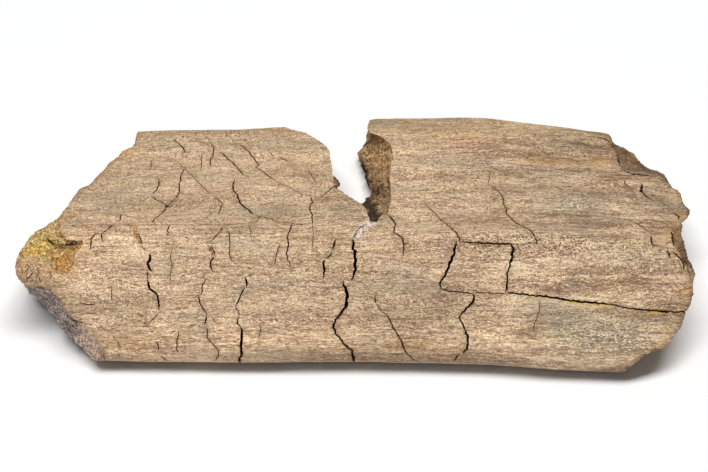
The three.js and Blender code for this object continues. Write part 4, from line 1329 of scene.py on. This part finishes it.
def make_cortex(groups):
    """Weathered outer bone: cream, tan and brown fibres, stains, pores and dust."""
    material, graph, surface = new_material("weathered_bone")
    short_grain = graph.mask("top_left")
    waviness = graph.band(short_grain, 0, 1, 0.5, 1.1)
    place, wavy = bone_space(graph, waviness)
    crumbled = graph.mask("granular")
    worming = graph.math("MAXIMUM", graph.band(short_grain, 0, 1, 0.15, 0.8), crumbled)
    right_half = graph.mask("right_half")
    blotches = graph.band(right_half, 0, 1, 0.6, 1.7)
    vein_share = graph.band(right_half, 0, 1, 0.5, 0.75)
    grain = graph.group(groups["grain"], {"Place": wavy, "Worming": worming,
                                          "Blotches": blotches, "Fibres": graph.mask("low_front")})
    patches = graph.noise(graph.scaled(place, (0.05, 0.12, 0.12)), detail=4.0)
    hue = graph.noise(graph.scaled(wavy, (0.06, 0.28, 0.28)), detail=4.0)
    broken = graph.noise(graph.scaled(wavy, (0.35, 1.3, 1.3)), detail=4.0, roughness=0.68)

    colour = graph.ramp(grain["Tone"], (
        (0.16, (84, 62, 46)), (0.34, (140, 113, 87)), (0.5, (190, 161, 131)),
        (0.64, (217, 190, 158)), (0.84, (252, 232, 196))))
    rosy = graph.mix(0.3, colour, tint((190, 148, 124)))
    golden = graph.mix(0.26, colour, tint((196, 160, 112)))
    colour = graph.mix(graph.band(hue, 0.38, 0.62), rosy, golden)
    ashen = graph.mix(0.5, colour, tint((148, 142, 122)))
    colour = graph.mix(graph.band(patches, 0.52, 0.68, 0, 0.7), colour, ashen)

    def stain(base, mask, stain_colour, most):
        share = graph.times(graph.mask(mask), graph.band(broken, 0.38, 0.6, 0.25, 1.0))
        return graph.mix(graph.math("MULTIPLY", share, most, True), base, tint(stain_colour))

    colour = stain(colour, "cream", (222, 192, 156), 0.55)
    colour = stain(colour, "ochre", (202, 148, 84), 0.75)
    colour = stain(colour, "brown", (124, 92, 66), 0.72)
    colour = graph.shaded(colour, graph.times(graph.mask("worn"), 0.9), WORN_DOWN)
    colour = stain(colour, "mauve", (112, 96, 98), 0.8)
    colour = stain(colour, "grey", (140, 136, 116), 0.7)
    mottle = graph.group(groups["specks"], {"Place": wavy, "Amount": 0.75, "Size": 0.55,
                                            "Stretch": (0.6, 1, 1)})
    salt = graph.mix(graph.band(mottle["Tone"], 0.45, 0.55), tint((70, 68, 62)),
                     tint((220, 210, 182)))
    share = graph.times(mottle["Specks"], graph.mask("grey"))
    colour = graph.mix(graph.times(share, 0.85), colour, salt)

    colour = graph.stained(colour, grain["Veins"], vein_share, (110, 82, 60))
    # Flecks are partly the bone's specks and partly painted light on fibre tops and painted shade
    # in the furrows.
    colour = graph.stained(colour, grain["Light flecks"], 0.55, (250, 230, 190))
    colour = graph.stained(colour, grain["Dark flecks"], 0.6, (98, 74, 56))

    pores = graph.group(groups["specks"], {"Place": place, "Amount": 0.8, "Size": 0.62,
                                           "Stretch": (0.75, 1, 1)})
    pore_share = graph.times(graph.band(pores["Specks"], 0.35, 0.8),
                             graph.band(graph.mask("pores"), 0.15, 0.9))
    colour = graph.stained(colour, pore_share, 0.8, (62, 46, 36))

    near_crack = graph.times(graph.mask("crack_near"), graph.band(broken, 0.4, 0.6, 0.2, 1))
    colour = graph.stained(colour, near_crack, 0.45, (128, 98, 66))
    near_edge = graph.times(graph.mask("edge_near"), graph.band(broken, 0.35, 0.6, 0.3, 1))
    colour = graph.stained(colour, near_edge, 0.5, (140, 106, 72))
    spattered = graph.noise(place, 1.3, 2.0, 0.7)
    near_scar = graph.times(graph.mask("scar_near"), graph.band(spattered, 0.5, 0.56))
    colour = graph.stained(colour, near_scar, 0.75, (206, 156, 78))
    pits = graph.times(crumbled, graph.band(spattered, 0.42, 0.36))
    colour = graph.stained(colour, pits, 0.5, (120, 90, 66))
    crusted = graph.times(graph.mask("pale"), graph.band(spattered, 0.46, 0.54))
    colour = graph.mix(crusted, colour, tint((228, 214, 206)))
    gilded = graph.times(graph.mask("yellow"), graph.band(spattered, 0.4, 0.56, 0.1, 1.0))
    colour = graph.mix(gilded, colour, tint((216, 168, 62)))
    rimmed = graph.times(graph.mask("rim"), graph.band(broken, 0.4, 0.6, 0.1, 0.5))
    colour = graph.mix(rimmed, colour, tint((150, 122, 78)))
    # Painted light on the lower front and, in part, in the paler patches; the duskier patches
    # darken the bone.
    for mask, factor in (("low_front", PAINTED_LIGHT_LOW_FRONT), ("paler", PALER_AND_PAINTED_LIGHT), ("duskier", DUSKIER)):
        colour = graph.shaded(colour, graph.mask(mask), factor)
    colour = graph.shaded(colour, graph.mask("edge_line"), EDGE_SHADE)
    # Painted shade under the bone: its underside is painted near-black brown-grey, with no pattern.
    colour = graph.mix(graph.mask("underside"), colour, tint((62, 56, 52)))
    inner = graph.band(graph.mask("depth"), 0.4, 2.0)
    colour = graph.shaded(colour, graph.times(inner, 0.5), WORN_DOWN)
    roughness = graph.band(grain["Fine"], 0.3, 0.7, 0.9, 0.68)
    height = graph.minus(grain["Height"], graph.times(pore_share, 0.8))
    height = graph.minus(height, graph.times(grain["Dark flecks"], 0.3))
    dress(graph, surface, colour, roughness, 0.35, height, 0.4, 0.9)
    return material


def make_sponge(groups):
    """Broken inner bone: brown spongy grains, redder by the skin, with dark pores, and painted
    shade in the notch's deep end.
    """
    material, graph, surface = new_material("broken_spongy_bone")
    place, _ = bone_space(graph, 0.4)
    crumbs = graph.group(groups["crumbs"], {"Place": place, "Size": 0.6})
    depth = graph.mask("depth")
    colour = graph.ramp(crumbs["Tone"], (
        (0.25, (138, 96, 62)), (0.45, (202, 154, 102)), (0.62, (236, 192, 136)),
        (0.85, (255, 230, 178))))
    red_rim = graph.band(depth, 5.0, 0.8)
    colour = graph.stained(colour, red_rim, 0.2, (170, 116, 80))
    wandering = graph.noise(place, 0.13, 3.0)
    colour = graph.mix(graph.band(wandering, 0.52, 0.7, 0, 0.25), colour, tint((196, 150, 82)))
    colour = graph.mix(graph.band(wandering, 0.46, 0.32, 0, 0.5), colour, tint((112, 100, 90)))
    pores = graph.group(groups["specks"], {"Place": place, "Amount": 0.5, "Size": 0.75,
                                           "Stretch": (0.8, 1, 1)})
    spongy = graph.band(depth, 1.5, 3.5)
    pore_share = graph.times(graph.band(pores["Specks"], 0.3, 0.8), spongy)
    colour = graph.stained(colour, pore_share, 0.8, (58, 42, 32))
    colour = graph.stained(colour, crumbs["Hollows"], 0.45, (80, 56, 40))
    colour = graph.stained(colour, graph.mask("silver"), 0.75, (140, 142, 122))
    colour = graph.stained(colour, graph.mask("rust"), 0.85, (78, 56, 42))
    # Painted shade: the notch's deep inner end and low walls are darkened almost to black.
    colour = graph.shaded(colour, graph.mask("notch_shade"), PAINTED_NOTCH_SHADE)
    roughness = graph.band(crumbs["Tone"], 0.3, 0.8, 0.95, 0.78)
    height = graph.minus(crumbs["Height"], graph.times(pore_share, 0.7))
    dress(graph, surface, colour, roughness, 0.3, height, 0.7, 0.9)
    return material


def make_crack_wall(groups):
    """Inside of the cracks: dark brown bone, partly earth stain and partly painted shade that
    darkens it with depth, paler near the lip.
    """
    material, graph, surface = new_material("stained_and_shaded_crack_wall")
    place, _ = bone_space(graph, 0.4)
    crumbs = graph.group(groups["crumbs"], {"Place": place, "Size": 0.6})
    colour = graph.ramp(crumbs["Tone"], (
        (0.3, (34, 24, 18)), (0.55, (62, 46, 34)), (0.8, (104, 80, 58))))
    # Painted shade: the wall is lighter near the lip, so it darkens with depth.
    lip = graph.band(graph.mask("depth"), 2.0, 0.2)
    colour = graph.stained(colour, lip, 0.55, (140, 102, 70))
    colour = graph.mix(graph.mask("yellow"), colour, tint((190, 138, 50)))
    roughness = graph.band(crumbs["Tone"], 0.3, 0.8, 0.98, 0.9)
    dress(graph, surface, colour, roughness, 0.15, crumbs["Height"], 0.3, 0.8)
    return material


def make_mineral(groups):
    """Yellow crust in the scar: bright and orange iron minerals with grey crumbs, painted glints on
    its crystals and painted shadow under the scar's lip.
    """
    material, graph, surface = new_material("yellow_mineral_crust")
    place, _ = bone_space(graph, 0.4)
    crumbs = graph.group(groups["crumbs"], {"Place": place, "Size": 0.45})
    colour = graph.ramp(crumbs["Tone"], (
        (0.28, (158, 116, 64)), (0.44, (210, 164, 92)), (0.58, (236, 198, 124)),
        (0.74, (255, 238, 176))))
    lemon = graph.ramp(crumbs["Tone"], (
        (0.28, (188, 132, 32)), (0.44, (226, 170, 48)), (0.58, (248, 206, 84)),
        (0.74, (255, 238, 150))))
    orange = graph.ramp(crumbs["Tone"], (
        (0.28, (156, 98, 34)), (0.46, (200, 132, 50)), (0.62, (226, 156, 66)),
        (0.8, (250, 200, 116))))
    greys = graph.noise(place, 1.1, 3.0, 0.7)
    wander = graph.band(graph.noise(place, 0.5, 3.0, 0.7), 0.36, 0.56, 0.4, 1.1)
    share = graph.math("MULTIPLY", graph.mask("lemon"), wander, True)
    colour = graph.mix(share, colour, lemon)
    solid = graph.band(wander, 0.4, 1.1, 0.8, 1.1)
    share = graph.math("MULTIPLY", graph.mask("orange"), solid, True)
    colour = graph.mix(share, colour, orange)
    share = graph.times(graph.mask("dusty"), graph.band(greys, 0.4, 0.54))
    colour = graph.stained(colour, share, 0.65, (168, 138, 98))
    colour = graph.mix(graph.band(greys, 0.56, 0.64, 0, 0.3), colour, tint((128, 94, 52)))
    rim = graph.times(graph.mask("scar_rim"), graph.band(greys, 0.44, 0.5))
    colour = graph.stained(colour, rim, 0.8, (200, 166, 126))
    # Painted glints: pale specks standing in for light glinting off the crust's crystals.
    sparks = graph.group(groups["specks"], {"Place": place, "Amount": 0.22, "Size": 0.7,
                                            "Stretch": (1, 1, 1)})
    colour = graph.stained(colour, sparks["Specks"], 0.8, (255, 240, 186))
    colour = graph.stained(colour, crumbs["Hollows"], 0.25, (120, 78, 34))
    # Painted shadow under the overhanging lip of the scar.
    colour = graph.shaded(colour, graph.mask("scar_lip_shadow"), SHADOW_UNDER_LIP)
    roughness = graph.band(crumbs["Tone"], 0.3, 0.8, 0.75, 0.4)
    height = graph.plus(crumbs["Height"], graph.times(sparks["Specks"], 0.3))
    dress(graph, surface, colour, roughness, 0.5, height, 0.6, 1.0)
    return material


def make_matrix(groups):
    """Purple-grey stone that still clings under the left end."""
    material, graph, surface = new_material("purple_grey_matrix")
    place, _ = bone_space(graph, 0.4)
    crumbs = graph.group(groups["crumbs"], {"Place": place, "Size": 1.1})
    fine = graph.noise(place, 1.7, 3.0, 0.7)
    lumps = graph.noise(place, 0.32, 3.0, 0.6)
    tone = graph.plus(graph.times(lumps, 0.7), graph.times(fine, 0.6))
    colour = graph.ramp(tone, (
        (0.46, (70, 56, 52)), (0.56, (138, 118, 110)), (0.66, (200, 176, 164)),
        (0.8, (250, 230, 214))))
    rust = graph.noise(place, 0.6, 3.0)
    colour = graph.mix(graph.band(rust, 0.54, 0.66, 0, 0.55), colour, tint((170, 128, 96)))
    bare = graph.band(graph.mask("crust"), 1.0, 0.0)
    # Painted shadow along the top of the stone, just under the overhanging edge of the bone.
    shade_under_cortex = graph.times(graph.band(graph.mask("depth"), 1.0, 0.2), bare)
    colour = graph.stained(colour, shade_under_cortex, 0.65, (58, 46, 40))
    crusted = graph.times(graph.mask("crust"), graph.band(fine, 0.42, 0.54, 0.4, 1))
    colour = graph.mix(crusted, colour, tint((252, 218, 190)))
    colour = graph.stained(colour, graph.mask("foot_line"), 0.5, (216, 202, 192))
    glints = graph.group(groups["specks"], {"Place": place, "Amount": 0.25, "Size": 0.6,
                                            "Stretch": (1, 1, 1)})
    colour = graph.stained(colour, glints["Specks"], 0.5, (216, 198, 186))
    hollow = graph.times(crumbs["Hollows"], graph.band(bare, 0, 1, 0.35, 0.7))
    colour = graph.mix(hollow, colour, tint((50, 42, 40)))
    roughness = graph.band(crumbs["Tone"], 0.3, 0.8, 0.9, 0.65)
    height = graph.plus(crumbs["Height"], graph.times(lumps, 2.0))
    dress(graph, surface, colour, roughness, 0.4, height, 0.9, 1.0)
    return material


CORTEX, SPONGE, CRACK_WALL, MINERAL, MATRIX = range(5)


def make_materials():
    groups = {
        "grain": make_grain_group(),
        "specks": make_speck_group(), "crumbs": make_crumb_group(),
    }
    return [make(groups) for make in
            (make_cortex, make_sponge, make_crack_wall, make_mineral, make_matrix)]


# ---------------------------------------------------------------- loose grains in the scar

GRAIN_COUNT = 260
GRAIN_SEED = 7
GRAIN_SIZES = (0.22, 0.62)
STONE_GRAIN_SHARE, GRAIN_RISE = 0.8, 0.12
SMALLEST_FACE = 1e-9


def make_scar_grains(bone, materials):
    """Small crystals stuck in the yellow scar and along the dark stone."""
    chance = random.Random(GRAIN_SEED)
    mesh = bone.data
    spots = [(p.center / MILLIMETRE, p.normal.copy(), p.material_index) for p in mesh.polygons
             if p.material_index in (MINERAL, MATRIX) and p.area > SMALLEST_FACE
             and p.normal.z > -0.2 and p.center.y < 0.005]
    bm = bmesh.new()
    for _ in range(GRAIN_COUNT):
        centre, normal, finish = chance.choice(spots)
        size = chance.uniform(*GRAIN_SIZES)
        size *= 1.0 if finish == MINERAL else STONE_GRAIN_SHARE
        made = bmesh.ops.create_icosphere(bm, subdivisions=1, radius=size / 2)
        stretch = Vector((chance.uniform(0.8, 1.5), chance.uniform(0.6, 1),
                          chance.uniform(0.6, 1)))
        turn = Vector([chance.uniform(-3, 3) for _ in range(3)])
        turned = Euler(turn).to_matrix()
        for v in made["verts"]:
            v.co = turned @ Vector([a * b for a, b in zip(v.co, stretch)]) + centre
            v.co += normal * size * GRAIN_RISE
        for face in {face for v in made["verts"] for face in v.link_faces}:
            face.material_index = 0 if finish == MINERAL else 1
    bmesh.ops.scale(bm, vec=(MILLIMETRE,) * 3, verts=bm.verts)
    return finish_mesh("scar_mineral_grains", bm, None, [materials[MINERAL], materials[MATRIX]])


# ---------------------------------------------------------------- studio

FLOOR_DROP = 0.0001
FLOOR_HALF = 3.0
FLOOR_COLOUR = (0.85, 0.858, 0.87, 1)
SKY_COLOUR, SKY_STRENGTH = (0.86, 0.93, 1, 1), 0.13
# Lights, in metres: name, place, target, width, height, power, colour.
LIGHTS = (
    ("key_light", (-0.03, -0.01, 1.7), (0, 0, 0), 0.36, 1.25, 33.4, (1.0, 0.985, 0.965)),
    ("front_fill", (0.1, -1.7, 0.4), (0, 0, 0.02), 1.2, 0.3, 0.55, (1.0, 0.98, 0.96)),
)


def make_floor():
    bm = bmesh.new()
    bmesh.ops.create_grid(bm, x_segments=1, y_segments=1, size=FLOOR_HALF)
    mesh = bpy.data.meshes.new("floor")
    bm.to_mesh(mesh)
    bm.free()
    mesh.transform(Matrix.Translation((0, 0, -FLOOR_DROP)))
    material, _, surface = new_material("white_floor")
    surface.inputs["Base Color"].default_value = FLOOR_COLOUR
    surface.inputs["Roughness"].default_value = 0.9
    surface.inputs["Specular IOR Level"].default_value = 0.1
    mesh.materials.append(material)
    floor = bpy.data.objects.new("floor", mesh)
    bpy.context.scene.collection.objects.link(floor)


def add_light(name, place, target, width, height, power, colour):
    data = bpy.data.lights.new(name, "AREA")
    data.shape = "RECTANGLE"
    data.size, data.size_y = width, height
    data.energy = power
    data.color = colour
    light = bpy.data.objects.new(name, data)
    light.location = place
    light.rotation_euler = (Vector(target) - Vector(place)).to_track_quat("-Z", "Y").to_euler()
    bpy.context.scene.collection.objects.link(light)


def make_studio():
    make_floor()
    for light in LIGHTS:
        add_light(*light)
    world = bpy.data.worlds.new("studio")
    world.use_nodes = True
    background = world.node_tree.nodes["Background"]
    background.inputs["Color"].default_value = SKY_COLOUR
    background.inputs["Strength"].default_value = SKY_STRENGTH
    bpy.context.scene.world = world
    bpy.context.scene.view_settings.view_transform = "Standard"


CAMERA_TARGET = (0.0, -8.0, 22.0)
CAMERA_DISTANCE = 582.7
CAMERA_ELEVATION = math.radians(55)
LENS, SENSOR_WIDTH, CLIP_START, CLIP_END = 100, 36, 0.01, 20


def make_camera():
    data = bpy.data.cameras.new("camera")
    data.lens = LENS
    data.sensor_width = SENSOR_WIDTH
    data.sensor_fit = "HORIZONTAL"
    data.clip_start, data.clip_end = CLIP_START, CLIP_END
    camera = bpy.data.objects.new("camera", data)
    back = Vector((0, -math.cos(CAMERA_ELEVATION), math.sin(CAMERA_ELEVATION)))
    target = Vector(CAMERA_TARGET)
    camera.location = (target + back * CAMERA_DISTANCE) * MILLIMETRE
    camera.rotation_euler = (-back).to_track_quat("-Z", "Y").to_euler()
    bpy.context.scene.collection.objects.link(camera)
    bpy.context.scene.camera = camera


# ---------------------------------------------------------------- the whole part


def main():
    make_camera()
    make_studio()
    materials = make_materials()
    bone = make_rib_bone(materials)
    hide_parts("rib_section")
    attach(bone, "root")
    grains = make_scar_grains(bone, materials)
    bpy.context.scene.collection.objects.link(grains)
    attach(grains, "root")
    bpy.context.view_layer.update()


main()
